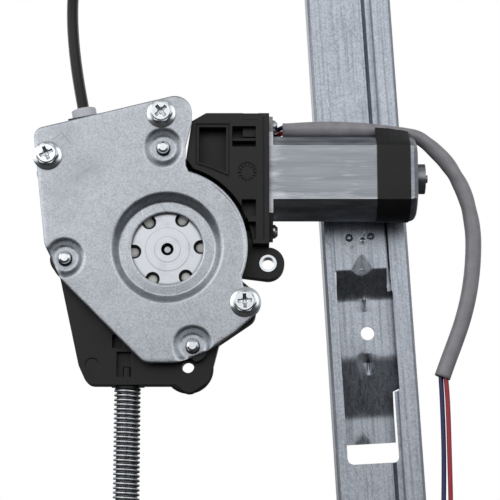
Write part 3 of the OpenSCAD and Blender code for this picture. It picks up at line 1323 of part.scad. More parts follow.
module cable_nipples() {
    color([0.72, 0.66, 0.5]) at_carrier() for (z = [-anchor_h + 3, anchor_h - 3 - nipple_len])
        translate([strand_x, strand_y, z]) difference() {
            cylinder(r = nipple_r, h = nipple_len);
            translate([0, 0, -1]) cylinder(d = cable_d + 0.7, h = nipple_len + 2);
        }
}

rivet_r = 1.5;
module carrier_rivets() {
    color([0.7, 0.7, 0.72]) at_carrier() for (s = [-1, 1])
        for (z = [(shoe_z[0] + shoe_z[1]) / 2, 6]) {
            ycyl([strand_x, s * z], rivet_r, 55.5, carrier_y + carrier_t + 0.1);
            ycyl([strand_x, s * z], rivet_r + 1.4, carrier_y + carrier_t, carrier_y + carrier_t + 1.1);
        }
}

stop_len = 6;
// Cut off the stop's corner, to clear the rail's inner bend
stop_corner = 0.9;
module bump_stops() {
    low = carrier_rest_z - shoe_z[1] - move_gap - stop_len;
    high = carrier_rest_z + carrier_travel + shoe_z[1] + move_gap;
    front = face_y + seat_gap;
    side = rail_right - rail_t - seat_gap;
    back = wall_back - rail_t - seat_gap;
    color([0.08, 0.08, 0.08]) for (z = [low, high]) difference() {
        translate([0, 0, z]) linear_extrude(stop_len) polygon([[shoe_block[0], front],
            [side - stop_corner, front], [side, front + stop_corner], [side, back], [shoe_block[0], back]]);
        translate([strand_x, strand_y, z - 1]) cylinder(d = cable_d + 0.6, h = stop_len + 2);
    }
}

drive() drum_cover_plate();
drive() cover_screws();
drive() fixing_screws();
drive() drum_housing();
drive() notched_disc();
drive() cable_drum();
drive() drum_cable_turns();
drive() output_driver();
drive() rubber_damper();
drive() worm_wheel();
drive() wheel_bush();
drive() axle_pin();
drive() gearbox_housing();
drive() gearbox_lid();
drive() lid_screws();
drive() ear_bush();
drive() worm();
drive() armature_shaft();
drive() armature_core();
drive() armature_windings();
drive() commutator();
drive() gearbox_shaft_bush();
drive() can_shaft_bush();
drive() thrust_button();
drive() motor_can();
drive() field_magnets();
drive() brush_holder();
drive() carbon_brushes();
drive() brush_springs();
drive() motor_screws();
drive() tape_wrap();
drive() wire_grommet();
drive() harness_sleeve();
drive() blue_wire();
drive() red_wire();
drive() harness_connector();
drive() connector_pins();
drive() upper_ferrule();
drive() upper_conduit();
drive() lower_ferrule();
drive() spring_collar();
drive() conduit_spring();
drive() lower_conduit();
drive() feed_cables();
on_rail() rail();
on_rail() rail_bracket();
on_rail() top_pulley();
on_rail() top_pulley_pin();
on_rail() top_guard();
on_rail() bottom_pulley();
on_rail() bottom_pulley_pin();
on_rail() bottom_guard();
on_rail() rail_ferrules();
on_rail() lift_cable();
on_rail() glass_carrier();
on_rail() carrier_shoes();
on_rail() cable_anchor();
on_rail() cable_nipples();
on_rail() carrier_rivets();
on_rail() bump_stops();
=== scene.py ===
"""Car window regulator: finishes, harness and fine detail over the frame that CAD built.

The frame holds every rigid piece. This script gives each one its material, adds the pieces that bend
(harness sleeve, wires and tape) and draws again those whose relief is too fine for CAD: the cover
plate's sheet and its screws, a lobe of the housing, the bracket's sheet, the steel coil and the marks
that a mould leaves. Routes are lists of points in metres in the drive unit's own frame, whose origin is
on the cable drum's axis, in the cover plate's front face.
"""

import json
import math

import bpy
import numpy as np
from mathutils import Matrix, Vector
from mathutils.geometry import delaunay_2d_cdt


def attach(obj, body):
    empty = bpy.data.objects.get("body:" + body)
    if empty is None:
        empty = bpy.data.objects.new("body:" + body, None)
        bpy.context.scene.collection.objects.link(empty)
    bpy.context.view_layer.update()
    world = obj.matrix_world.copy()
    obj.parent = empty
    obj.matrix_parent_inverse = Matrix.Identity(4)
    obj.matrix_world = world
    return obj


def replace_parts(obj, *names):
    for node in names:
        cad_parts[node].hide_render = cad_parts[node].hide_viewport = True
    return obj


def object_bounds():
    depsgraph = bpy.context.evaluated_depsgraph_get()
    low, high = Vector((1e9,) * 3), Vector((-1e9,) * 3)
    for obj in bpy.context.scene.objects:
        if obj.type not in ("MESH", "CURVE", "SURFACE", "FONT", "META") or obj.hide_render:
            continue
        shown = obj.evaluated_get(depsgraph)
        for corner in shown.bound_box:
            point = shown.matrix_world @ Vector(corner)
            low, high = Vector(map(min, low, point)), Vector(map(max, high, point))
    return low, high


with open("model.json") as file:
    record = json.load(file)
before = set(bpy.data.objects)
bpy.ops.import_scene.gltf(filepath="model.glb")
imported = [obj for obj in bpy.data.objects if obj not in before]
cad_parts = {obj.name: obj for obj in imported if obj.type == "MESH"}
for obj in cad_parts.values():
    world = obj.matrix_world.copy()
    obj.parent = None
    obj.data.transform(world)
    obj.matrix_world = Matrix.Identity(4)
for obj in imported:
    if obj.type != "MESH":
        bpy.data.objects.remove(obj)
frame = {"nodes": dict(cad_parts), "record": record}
cad_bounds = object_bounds()
scene = bpy.context.scene

# ---------------------------------------------------------------- places and sizes, in metres
DRIVE = np.array((-0.1009, -0.0547, 0.0351))
CAMERA_AT = (-0.0604, -0.9008, -0.1201)
CAMERA_TO = (-0.0604, -0.0547, 0.0337)
CAMERA_LENS = 127.15
FLOOR_GAP = 0.002
FLOOR_REACH = 6.0
UP = np.array((0.0, 0.0, 1.0))

SLEEVE_R = 0.004
SLEEVE_WALL = 0.0008
SLEEVE_SIDES = 36
SLEEVE_MOUTH_RINGS = 6
# humps along the sleeve, each a share of its radius, a place on its length and a width
SLEEVE_PRESSED = ((0.26, 0.058, 0.015), (0.09, 0.0, 0.010))
SLEEVE_KINKS = ((0.06, 0.0745, 0.003), (0.10, 0.0960, 0.0035), (0.07, 0.1150, 0.004))
SLEEVE_SWELL = ((0.03, 0.024, 0.012),)
CAN_END, CAN_END_SOFT = 0.066, 0.004
WIRE_R = 0.0012
WIRE_SIDES = 16
LEAD_IN = ((0.0532, 0.0338), (0.0550, 0.0300), (0.0568, 0.0262), (0.0590, 0.0250))
LEAD_IN_Z = {"blue": 0.0664, "red": 0.0636}
SLEEVE_DEPTH = 0.0245
SLEEVE_ROUTE = [(x, SLEEVE_DEPTH, z) for x, z in (
    (0.0570, 0.0650), (0.0660, 0.0650), (0.0760, 0.0650),
    (0.0870, 0.0650), (0.0980, 0.0650), (0.1090, 0.0650),
    (0.1165, 0.0643), (0.1215, 0.0629), (0.1260, 0.0608),
    (0.1302, 0.0577), (0.1345, 0.0537), (0.1396, 0.0481),
    (0.1446, 0.0403), (0.1486, 0.0314), (0.1511, 0.0215),
    (0.1524, 0.0110), (0.1522, 0.0000), (0.1511, -0.0110),
    (0.1491, -0.0220), (0.1461, -0.0330), (0.1425, -0.0430),
    (0.1386, -0.0530), (0.1356, -0.0610))]
BLUE_ROUTE = [
    (0.1352, 0.0251, -0.0585), (0.1350, 0.0251, -0.0613), (0.1352, 0.0251, -0.0670),
    (0.1354, 0.0251, -0.0740), (0.1356, 0.0251, -0.0840), (0.1357, 0.0251, -0.0950),
    (0.1356, 0.0251, -0.1060), (0.1353, 0.0249, -0.1170), (0.1349, 0.0246, -0.1280),
    (0.1345, 0.0245, -0.1360),
]
RED_ROUTE = [
    (0.1373, 0.0238, -0.0585), (0.1374, 0.0238, -0.0623), (0.1377, 0.0238, -0.0670),
    (0.1380, 0.0238, -0.0740), (0.1382, 0.0238, -0.0840), (0.1383, 0.0238, -0.0950),
    (0.1384, 0.0239, -0.1060), (0.1385, 0.0241, -0.1170), (0.1385, 0.0244, -0.1280),
    (0.1385, 0.0245, -0.1360),
]

MOTOR_AXIS = (0.0246, 0.0394)
CAN_R = 0.0214
CAN_FLAT = 0.0165
TAPE_X = (0.1036, 0.1202)
TAPE_T = 0.0006
TAPE_SIDES = 240
TAPE_ROWS = 28
TAPE_IN = 0.972
# the sleeve under the tape: depth and height, its fall over the tape's width, half-height, and its loss
TAPED_AT = (SLEEVE_DEPTH, 0.0636)
TAPED_FALL = 0.0018
TAPED_R, TAPED_R_LOSS = 0.0034, 0.0004

COIL_AT = (-0.0194, 0.0153, -0.0674)
COIL_R = 0.0066
COIL_WIRE = 0.00135
COIL_PITCH = 0.00224
COIL_TURNS = 25.8
COIL_STEPS = 28
LINER_R = 0.0053
LINER_RIPPLE = 0.00012
LINER_INSET = 0.0004

# the bracket, in the rail's frame: heights and depths of its bent line, softness of each bend
RAIL_LEAN = math.radians(3.2)
BEND_Z = (0.0316, 0.0184, -0.0130, -0.0420)
BEND_SOFT = (0.0006, 0.0020, 0.0022, 0.0015)
SHEET_Y = (0.0446, 0.0540, 0.0620)
SHEET_T = 0.0014
# right edge where the strip is narrow and where it is wide, and the wide part's two ends
SHEET_X = (0.0113, 0.0145)
NARROW_FROM = 0.009
WIDE_Z = (-0.0293, 0.0218)
WIDE_SOFT = 0.0008
HOLE_R = 0.0035
HOLE_CELL = 0.0030
HOLE_REACH = 0.0055
CLINCHES = ((-0.00685, 0.0487), (0.00435, 0.0489))
PIP = (0.0001, 0.0469)
TOOL_MARKS = ((-0.0098, 0.0459, 0.5), (-0.0056, 0.0437, 0.3), (0.0012, 0.0504, 1.1))
# the sheet's net across and down: start, end and step of each run, in millimetres
SHEET_RUNS_X = ((-14.6, -9, 0.55), (-9, -4.8, 0.16), (-4.8, -3, 0.2), (-3, 3, 0.25), (3, 6.4, 0.16),
                (6.4, 14.5, 0.5))
SHEET_RUNS_Z = ((69, 52, 1.6), (52, 46.4, 0.17), (46.4, 40.4, 0.3), (40.4, 28, 0.3), (28, 23, 0.8),
                (23, 10.8, 0.3), (10.8, 5.5, 0.7), (5.5, 3, 0.35), (3, -3, 0.4), (-3, -5.5, 0.35),
                (-5.5, -10.2, 0.7), (-10.2, -22, 0.3), (-22, -27, 0.8), (-27, -29, 0.25), (-29, -56, 1.2))

# the cover plate, in millimetres of the drive unit's frame. A dish or a pad is the radius where its floor
# ends, the radius where its wall ends, and its depth
RIGHT_SCREW = (38.0, -27.2)
PLATE_SCREWS = [(-3.3, 67.1), (-59.1, 45.8), RIGHT_SCREW]
PLATE_PADS = [(50 * math.cos(math.radians(a)), 50 * math.sin(math.radians(a))) for a in (92.6, 186, 284.8)]
PLATE_OPENING = 17.8
PLATE_T = 1.5
PLATE_ROLL = 0.35
ROLL_GAPS = (0.18, 0.45, 0.9)
SCREW_HOLE_R = 3.2
SCREW_TURNS = (42, 24, 4)
HEX_TURNS = (28, 88, 148)
SCREW_FLANGE_R = 7.2
SCREW_HEX = 5.0
SCREW_R = 3.0
SCREW_SHANK = 11.0
LOBE_AT = (10.4, -57.7)
LOBE_R = 12.3
LOBE_HOLE_R = 4.2
LOBE_Y = (8.05, 16.95)
DISH = (23.4, 27.9, 4.0)
DISH_CONE = 0.3
PAD = (5.6, 10.4, 2.6)
EDGE_LINE_R = 37.9


def arc_corners(centre, radius, from_angle, to_angle, count):
    """Corners with no rounding along an arc, in degrees."""
    turn = np.radians(np.linspace(from_angle, to_angle, count + 1))
    return [(centre[0] + radius * math.cos(a), centre[1] + radius * math.sin(a), 0) for a in turn]


PLATE_CORNERS = ([(-66.5, 59.3, 5), (11.8, 78.6, 8.6), (11.8, 62.5, 4), (8.8, 50.5, 4), (8.8, 41, 1.5)]
                 + arc_corners((0, 0), 39.4, 75, -22, 48) + arc_corners(RIGHT_SCREW, 7.9, 95, -40, 12)
                 + [(33, -42, 3), (21.7, -49.9, 5), (5, -56.6, 8), (-10.5, -56.6, 8), (-51, -16.2, 14),
                    (-59.8, 1.5, 10)])

TICK_CENTRE = (0.0392, 0.0040, 0.0384)
TICK_RING_R = 0.0037
TICK_COUNT = 14
TICK_HALF = 0.0008
TICK_WIDTH = 0.00036


# ---------------------------------------------------------------- node helpers
def linear(code):
    """Linear RGBA of an sRGB hex colour."""
    part = [int(code[i:i + 2], 16) / 255 for i in (0, 2, 4)]
    return [c / 12.92 if c <= 0.04045 else ((c + 0.055) / 1.055) ** 2.4 for c in part] + [1.0]


def add(tree, kind, sockets=(), **settings):
    """One shader node. sockets maps an input's name or number to a value or to another node's output."""
    node = tree.nodes.new("ShaderNode" + kind)
    for key, value in settings.items():
        setattr(node, key, value)
    for key, value in dict(sockets).items():
        if isinstance(value, bpy.types.NodeSocket):
            tree.links.new(value, node.inputs[key])
        else:
            node.inputs[key].default_value = value
    return node


def start(name, **sockets):
    """A new material with one Principled shader, whose sockets get the given constants."""
    material = bpy.data.materials.new(name)
    material.use_nodes = True
    tree = material.node_tree
    tree.nodes.clear()
    shader = add(tree, "BsdfPrincipled", {k.replace("_", " "): v for k, v in sockets.items()})
    add(tree, "OutputMaterial", {"Surface": shader.outputs[0]})
    return material, tree, shader


def placed(tree, scale, centre=(0, 0, 0), turn=0.0):
    """Object coordinates about a centre, turned about Y, times a scale for each axis, per metre."""
    place = add(tree, "TexCoord").outputs["Object"]
    moved = add(tree, "Mapping", {"Vector": place, "Location": [-c for c in centre]})
    turned = add(tree, "Mapping", {"Vector": moved.outputs[0], "Rotation": (0, turn, 0)})
    return add(tree, "Mapping", {"Vector": turned.outputs[0], "Scale": scale}).outputs[0]


def noise(tree, vector, detail, rough):
    """Height from 0 to 1 of fractal noise."""
    sockets = {"Vector": vector, "Scale": 1.0, "Detail": detail, "Roughness": rough}
    return add(tree, "TexNoise", sockets).outputs[0]


def ramp(tree, value, low, high, to_low=0.0, to_high=1.0):
    """Value taken from the span low to high onto the span to_low to to_high, held at its ends."""
    sockets = {"Value": value, 1: low, 2: high, 3: to_low, 4: to_high}
    return add(tree, "MapRange", sockets, clamp=True).outputs[0]


def blend(tree, amount, first, second):
    """Colour between two colours."""
    node = add(tree, "Mix", {0: amount}, data_type="RGBA")
    for number, value in ((6, first), (7, second)):
        if isinstance(value, bpy.types.NodeSocket):
            tree.links.new(value, node.inputs[number])
        else:
            node.inputs[number].default_value = value
    return node.outputs[2]


def cloudy(tree, scale, detail, rough):
    """Noise at one scale along every axis, per metre."""
    return noise(tree, placed(tree, (scale,) * 3), detail, rough)


def coat(tree, shader, colour, value, span, rough):
    """Joins the colour, and the roughness that the value's span stands for."""
    tree.links.new(colour, shader.inputs["Base Color"])
    tree.links.new(ramp(tree, value, *span, *rough), shader.inputs["Roughness"])


def bump(tree, shader, height, distance, strength, edge=0.0):
    """Fine relief: height from 0 to 1 stands for this distance in metres. Where edge is above nought, sharp
    edges shade as if rounded to that radius in metres."""
    sockets = {"Height": height, "Distance": distance, "Strength": strength}
    if edge:
        sockets["Normal"] = add(tree, "Bevel", {"Radius": edge}, samples=6).outputs[0]
    node = add(tree, "Bump", sockets)
    tree.links.new(node.outputs[0], shader.inputs["Normal"])


def times(tree, first, second):
    """Product of two values."""
    return add(tree, "Math", {0: first, 1: second}, operation="MULTIPLY").outputs[0]


def plus(tree, first, second):
    """Sum of two values."""
    return add(tree, "Math", {0: first, 1: second}, operation="ADD").outputs[0]


def shade_in_corners(tree, colour, shade_colour, distance, low=0.35, high=0.85, amount=1.0):
    """Colour with painted shade in its corners: the less open the surface is within the distance, the darker.
    """
    open_share = add(tree, "AmbientOcclusion", {"Distance": distance}, samples=8).outputs["AO"]
    # painted shade: blends towards the dark colour where the surface is hemmed in
    return blend(tree, ramp(tree, open_share, low, high, amount, 0.0), colour, linear(shade_colour))


# ---------------------------------------------------------------- materials
def zinc(name, base, dark, stretch, grain_turn=0.0, rough=(0.34, 0.5), smudge="7c828a", drawn=0.0):
    """Zinc-plated sheet steel: a dull coat mottled at half a millimetre, drawing streaks, rubbed clouds,
    hair scratches both dark and bright, and painted shade darkening the corners. stretch is the streak
    noise's scale along each axis, per metre, and drawn the share of the dark streaks that the rollers leave."""
    material, tree, shader = start(name, Metallic=1.0)
    mottle = cloudy(tree, 1100, 3.0, 0.65)
    blotch = cloudy(tree, 190, 4.0, 0.6)
    streak = noise(tree, placed(tree, stretch, turn=grain_turn), 2.0, 0.5)
    patch = cloudy(tree, 30, 3.0, 0.6)
    colour = blend(tree, ramp(tree, mottle, 0.36, 0.62), linear(dark), linear(base))
    colour = blend(tree, ramp(tree, blotch, 0.50, 0.72, 0.0, 0.32), colour, linear(dark))
    colour = blend(tree, ramp(tree, streak, 0.45, 0.75, 0.0, 0.35), colour, linear("c9ced5"))
    colour = blend(tree, ramp(tree, streak, 0.32, 0.48, drawn, 0.0), colour, linear("747a83"))
    colour = blend(tree, ramp(tree, patch, 0.54, 0.74, 0.0, 0.4), colour, linear(smudge))
    for turn, low, mark in ((0.7, 0.70, "666b72"), (-0.9, 0.72, "6a6f76"), (0.25, 0.73, "dfe3e8")):
        scratch = noise(tree, placed(tree, (1900, 90, 70), turn=turn), 1.0, 0.4)
        colour = blend(tree, ramp(tree, scratch, low, low + 0.05, 0.0, 0.55), colour, linear(mark))
    # painted shade: darker where the surface is hemmed in within 3 mm
    colour = shade_in_corners(tree, colour, "43464b", 0.003, 0.3, 0.8, 0.4)
    both = plus(tree, times(tree, mottle, 0.5), times(tree, streak, 0.5))
    coat(tree, shader, colour, both, (0.3, 0.7), rough)
    bump(tree, shader, mottle, 0.00003, 0.5)
    return material


def moulding(name, base, light, rough=(0.38, 0.55), grain=1400, relief=0.00004, corner_shade=0.0, edge=0.0):
    """Moulded plastic: an even colour with a fine spark-eroded grain, faint wiped dust, and where the corner
    share is above nought, painted shade darkening the corners by that share."""
    material, tree, shader = start(name, Specular_IOR_Level=0.35)
    grains = cloudy(tree, grain, 2.0, 0.6)
    cloud = cloudy(tree, 60, 4.0, 0.6)
    colour = blend(tree, ramp(tree, cloud, 0.35, 0.75), linear(base), linear(light))
    # painted shade: where the share is above nought, the corners are darkened
    if corner_shade:
        colour = shade_in_corners(tree, colour, "0d0e10", 0.0022, 0.5, 0.92, corner_shade)
    coat(tree, shader, colour, cloud, (0.3, 0.7), rough)
    bump(tree, shader, grains, relief, 0.5, edge)
    return material


def brushed_can(name):
    """Galvanised deep-drawn can, brushed along its axis, with lighter patches that are partly real rubbing and
    partly painted highlight near its rim and the upper and lower edges of its flat, and painted shade in its
    corners.
    """
    material, tree, shader = start(name, Metallic=1.0, Anisotropic=0.4)
    brush = noise(tree, placed(tree, (18, 420, 420)), 3.0, 0.6)
    hair = noise(tree, placed(tree, (60, 2600, 2600)), 2.0, 0.5)
    patch = noise(tree, placed(tree, (48, 150, 340)), 4.0, 0.6)
    place = add(tree, "SeparateXYZ", {0: placed(tree, (1, 1, 1), centre=DRIVE)})
    # painted highlight: near the rim and the flat's upper and lower edges the lighter patches are raised
    rim = ramp(tree, place.outputs[0], 0.051, 0.060, 1.0, 0.0)
    low = ramp(tree, place.outputs[2], 0.0262, 0.0300, 1.0, 0.0)
    high = ramp(tree, place.outputs[2], 0.0505, 0.0535, 0.0, 0.8)
    edge = plus(tree, rim, plus(tree, low, high))
    rubbed = ramp(tree, plus(tree, patch, times(tree, edge, 0.2)), 0.58, 0.86, 0.0, 0.8)
    colour = blend(tree, ramp(tree, brush, 0.3, 0.75), linear("858990"), linear("999da3"))
    colour = blend(tree, ramp(tree, hair, 0.4, 0.7, 0.0, 0.3), colour, linear("7b7f85"))
    # lighter patches: the random ones are real rubbing, those raised near the edges are painted highlight
    colour = blend(tree, rubbed, colour, linear("c3c6cb"))
    # painted shade in the corners
    colour = shade_in_corners(tree, colour, "2f3134", 0.004, 0.25, 0.75, 0.6)
    coat(tree, shader, colour, hair, (0.3, 0.7), (0.34, 0.46))
    bump(tree, shader, hair, 0.00002, 0.4)
    return material


def turned_disc(name):
    """Bright steel turned on a lathe: fine rings about the drum's axis, painted shade in its corners, and
    painted shade on every wall that does not face the front.
    """
    material, tree, shader = start(name, Metallic=1.0)
    flat = placed(tree, (1, 0, 1), centre=DRIVE)
    reach = add(tree, "VectorMath", {0: flat}, operation="LENGTH").outputs["Value"]
    ring = add(tree, "CombineXYZ", {0: times(tree, reach, 2600.0)}).outputs[0]
    rings = noise(tree, ring, 2.0, 0.5)
    cloud = cloudy(tree, 120, 3.0, 0.6)
    colour = blend(tree, ramp(tree, rings, 0.35, 0.65), linear("cacdd3"), linear("d9dce1"))
    colour = blend(tree, ramp(tree, cloud, 0.55, 0.75, 0.0, 0.4), colour, linear("a7abb2"))
    # painted shade in the corners
    colour = shade_in_corners(tree, colour, "1d1e21", 0.0022, 0.45, 0.9, 0.95)
    # painted shade: walls that do not face the front are painted near black
    facing = add(tree, "SeparateXYZ", {0: add(tree, "TexCoord").outputs["Normal"]}).outputs[1]
    colour = blend(tree, ramp(tree, facing, -0.96, -0.78, 0.0, 0.96), colour, linear("0c0d0f"))
    coat(tree, shader, colour, cloud, (0.3, 0.7), (0.26, 0.4))
    bump(tree, shader, rings, 0.00002, 0.2)
    return material


def metal(name, base, dark, rough=(0.22, 0.36), grain=900, corners=0.9):
    """Bright plated or ground metal, a little uneven, with painted shade darkening its corners."""
    material, tree, shader = start(name, Metallic=1.0)
    cloud = cloudy(tree, grain, 3.0, 0.6)
    colour = blend(tree, ramp(tree, cloud, 0.35, 0.7), linear(dark), linear(base))
    # painted shade in the corners, at the share given by corners
    colour = shade_in_corners(tree, colour, "1c1e20", 0.0018, 0.4, 0.9, corners)
    coat(tree, shader, colour, cloud, (0.3, 0.7), rough)
    bump(tree, shader, cloud, 0.00001, 0.2)
    return material


def stranded(name, base, gap):
    """Steel cable: strands laid on a slant, as bands across the cable's own direction."""
    material, tree, shader = start(name, Metallic=1.0)
    wave = add(tree, "TexWave", {"Vector": placed(tree, (700, 700, 700), turn=0.5),
                                 "Scale": 1.0, "Distortion": 0.4}).outputs[1]
    colour = blend(tree, wave, linear(gap), linear(base))
    coat(tree, shader, colour, wave, (0.0, 1.0), (0.5, 0.3))
    bump(tree, shader, wave, 0.0001, 0.6)
    return material


def sheath(name, base, light, rough=(0.3, 0.42), relief=0.00006):
    """Soft extruded plastic, such as a sleeve or a wire's insulation: smooth, with slight ripples."""
    material, tree, shader = start(name)
    ripple = cloudy(tree, 180, 2.0, 0.5)
    colour = blend(tree, ramp(tree, ripple, 0.35, 0.7), linear(base), linear(light))
    coat(tree, shader, colour, ripple, (0.3, 0.7), rough)
    bump(tree, shader, ripple, relief, 0.6)
    return material


MATERIALS = {
    "zinc_plate": zinc("electro_galvanised_plate", "bdc1c7", "9da2a9", (220, 220, 240), 0.0, (0.28, 0.42)),
    # zinc-plated screws, bright from the barrel
    "zinc_bright": metal("bright_zinc_screw", "eef2f6", "dfe5ea", (0.14, 0.22), 300, 0.85),
    "galvanised_can": brushed_can("galvanised_can"),
    # roll-formed galvanised rail, streaks along it
    "rail_zinc": zinc("roll_formed_zinc", "b7bdc6", "9299a3", (700, 700, 16), 0.056, (0.28, 0.42), drawn=0.5),
    "carrier_zinc": zinc("stamped_carrier_zinc", "bcc2cb", "989fa9", (500, 500, 30)),
    "disc_steel": turned_disc("turned_steel"),
    "black_moulding": moulding("glass_filled_nylon_black", "0d0d0f", "151517", (0.34, 0.5), edge=0.0006),
    # polyethylene conduit over a steel winding
    "conduit_black": moulding("polyethylene_black", "0b0b0d", "131315", (0.24, 0.34), 400, 0.00002),
    "grey_sleeve": sheath("polyvinyl_sleeve_grey", "87858a", "949297", (0.36, 0.46), 0.00003),
    "tape_black": moulding("harness_tape_black", "0c0c0e", "161618", (0.4, 0.56), 1900, 0.00006),
    "wire_blue": sheath("wire_insulation_blue", "141a50", "1d2465"),
    "wire_red": sheath("wire_insulation_red", "9c2130", "b02a3a"),
    # natural acetal drum with painted shade in its corners at a share of 0.97
    "natural_nylon": moulding("natural_acetal", "dfe0e0", "ecece9", (0.35, 0.45), 900, 0.00002, 0.97),
    "ferrule_grey": moulding("acetal_light_grey", "c8cbd3", "d8dbe1", (0.4, 0.5), 900, 0.00002),
    "black_rubber": moulding("nitrile_rubber_black", "111112", "19191a", (0.6, 0.75), 1200, 0.00004),
    "spring_steel": metal("spring_wire_steel", "dde1e5", "bbbfc4", (0.24, 0.36), 700),
    "cable_steel": stranded("stranded_cable_steel", "b4b7bb", "55585c"),
    "bronze_bush": metal("sintered_bronze", "a98252", "7c5d38", (0.35, 0.5)),
    "ground_steel": metal("ground_steel", "c6cacf", "a3a7ac", (0.16, 0.28)),
    "core_steel": metal("laminated_core_steel", "7a7d82", "575a5e", (0.35, 0.5), 1600),
    "copper_wire": metal("enamelled_copper", "b5633a", "7d3f22", (0.25, 0.4), 1400),
    "ferrite": moulding("sintered_ferrite", "26262a", "35353a", (0.6, 0.75), 800, 0.00005),
    "holder_brown": moulding("phenolic_brown", "4a3222", "5b4030", (0.4, 0.55), 900, 0.00003),
    "carbon": moulding("carbon_brush", "1c1c1e", "2c2c2f", (0.5, 0.65), 1500, 0.00004),
    "contact_tin": metal("tinned_brass", "cfcfc8", "a9a9a0", (0.2, 0.35)),
}

# ---------------------------------------------------------------- mesh helpers
def smooth_between(points, steps):
    """Smooth curve through the points: between two of them runs a cubic whose slope at each is half the
    step between that point's neighbours."""
    p = np.asarray(points, float)
    p = np.vstack((2 * p[0] - p[1], p, 2 * p[-1] - p[-2]))
    t = np.linspace(0, 1, steps, endpoint=False)[:, None]
    before, here, there, after = p[:-3, None], p[1:-2, None], p[2:-1, None], p[3:, None]
    curve = 0.5 * (2 * here + (there - before) * t
                   + (2 * before - 5 * here + 4 * there - after) * t ** 2
                   + (3 * here - before - 3 * there + after) * t ** 3)
    return np.vstack((curve.reshape(-1, 3), p[-2:-1]))


def along(path):
    """Distance along the path at each point, and the unit direction there."""
    steps = np.linalg.norm(np.diff(path, axis=0), axis=1)
    heading = np.gradient(path, axis=0)
    return np.concatenate(([0], np.cumsum(steps))), heading / np.linalg.norm(heading, axis=1)[:, None]


def inside_out(verts, quads):
    """Whether a closed skin faces inwards: the pyramids from the origin to its quads then sum below nought."""
    corner = verts[quads]
    sides = corner[:, 1:] - corner[:, :1]
    return sum(np.einsum("ij,ij->", corner[:, 0], np.cross(sides[:, m], sides[:, m + 1])) for m in (0, 1)) < 0


def band_quads(rows, after, around):
    """Quads between rings of equal count, given each row's first index and the next row's."""
    a, b = np.arange(around), np.roll(np.arange(around), -1)
    return np.stack((rows[:, None] + a, rows[:, None] + b, after[:, None] + b, after[:, None] + a),
                    axis=2).reshape(-1, 4)


def ring_skin(rings):
    """Points and faces of a closed skin through a stack of rings, a fan on each end ring's middle."""
    count, around, _ = rings.shape
    verts = np.vstack((rings.reshape(-1, 3), rings[0].mean(0), rings[-1].mean(0)))
    rows = np.arange(count) * around
    quads = band_quads(rows[:-1], rows[1:], around)
    base, last = count * around, (count - 1) * around
    pairs = [(k, (k + 1) % around) for k in range(around)]
    faces = quads.tolist() + [(base, b, a) for a, b in pairs]
    faces += [(base + 1, last + a, last + b) for a, b in pairs]
    return verts, [face[::-1] for face in faces] if inside_out(verts, quads) else faces


def ring_mesh(name, rings, material):
    """Closed skin through a stack of rings of equal count."""
    return solid(name, *ring_skin(rings), material)


def closed_band(name, rings, material):
    """Skin of a band: its rings run along the outside and back along the inside, and close on themselves."""
    count, around, _ = rings.shape
    rows = np.arange(count) * around
    quads = band_quads(rows, np.roll(rows, -1), around)
    verts = rings.reshape(-1, 3)
    if inside_out(verts, quads):
        quads = quads[:, ::-1]
    return solid(name, verts, quads.tolist(), material)


def solid(name, verts, faces, material, smooth=True):
    """A piece on the fixed body with one material, which takes its finish from the slot of the same name."""
    mesh = bpy.data.meshes.new(name)
    mesh.from_pydata(np.asarray(verts).tolist(), [], faces)
    mesh.polygons.foreach_set("use_smooth", [smooth] * len(mesh.polygons))
    mesh.materials.append(MATERIALS[material])
    mesh.update()
    piece = bpy.data.objects.new(name, mesh)
    scene.collection.objects.link(piece)
    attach(piece, "root")
    return piece


def closed_sheet(name, front, back, cells, material, node):
    """Sheet metal from a front and a back skin of like points: the cells' faces, the same ones turned over
    behind, and a wall between the skins along every edge that only one cell has. It stands for the node."""
    sides = cells.shape[1]
    edges = np.concatenate([cells[:, [k, (k + 1) % sides]] for k in range(sides)])
    seen = {tuple(edge) for edge in edges.tolist()}
    rim = np.asarray([edge for edge in edges.tolist() if (edge[1], edge[0]) not in seen])
    behind = len(front)
    walls = np.stack((rim[:, 1], rim[:, 0], rim[:, 0] + behind, rim[:, 1] + behind), axis=1)
    skins = np.concatenate((cells, cells[:, ::-1] + behind))
    used = np.unique(np.concatenate((skins.ravel(), walls.ravel())))
    fresh = np.full(2 * behind, -1)
    fresh[used] = np.arange(len(used))
    piece = solid(name, np.concatenate((front, back))[used],
                  fresh[skins].tolist() + fresh[walls].tolist(), material)
    piece.data.set_sharp_from_angle(angle=math.radians(50))
    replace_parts(piece, node)


def sections(path, across, up, sides):
    """Rings of an ellipse about each path point: half-width across on the path's own side, and half-depth up
    along the axis Y, for a path that lies in a plane facing Y."""
    _, heading = along(path)
    turn = np.linspace(0, 2 * np.pi, sides, endpoint=False)
    depth_axis = np.array((0.0, 1.0, 0.0))
    side_axis = np.cross(heading, depth_axis)
    side_axis /= np.linalg.norm(side_axis, axis=1)[:, None]
    lift_axis = np.cross(side_axis, heading)
    return (path[:, None]
            + (across[:, None] * np.cos(turn))[:, :, None] * side_axis[:, None]
            + (up[:, None] * np.sin(turn))[:, :, None] * lift_axis[:, None])


def bell(place, centre, width):
    """Smooth hump of height 1 at the centre, by a normal curve."""
    return np.exp(-((place - centre) / width) ** 2)


def humps(place, rows):
    """Sum of bells, each row a height, a centre and a width."""
    return sum(height * bell(place, centre, width) for height, centre, width in rows)


def eased(value):
    """Cubic step from 0 to 1 that starts and ends level."""
    value = np.clip(value, 0, 1)
    return value * value * (3 - 2 * value)


def revolved(profile, turn):
    """Rings about the axis Y, one for each radius and depth of the profile."""
    return np.asarray([np.stack((r * np.cos(turn), np.full_like(turn, y), r * np.sin(turn)), axis=1)
                       for r, y in profile])


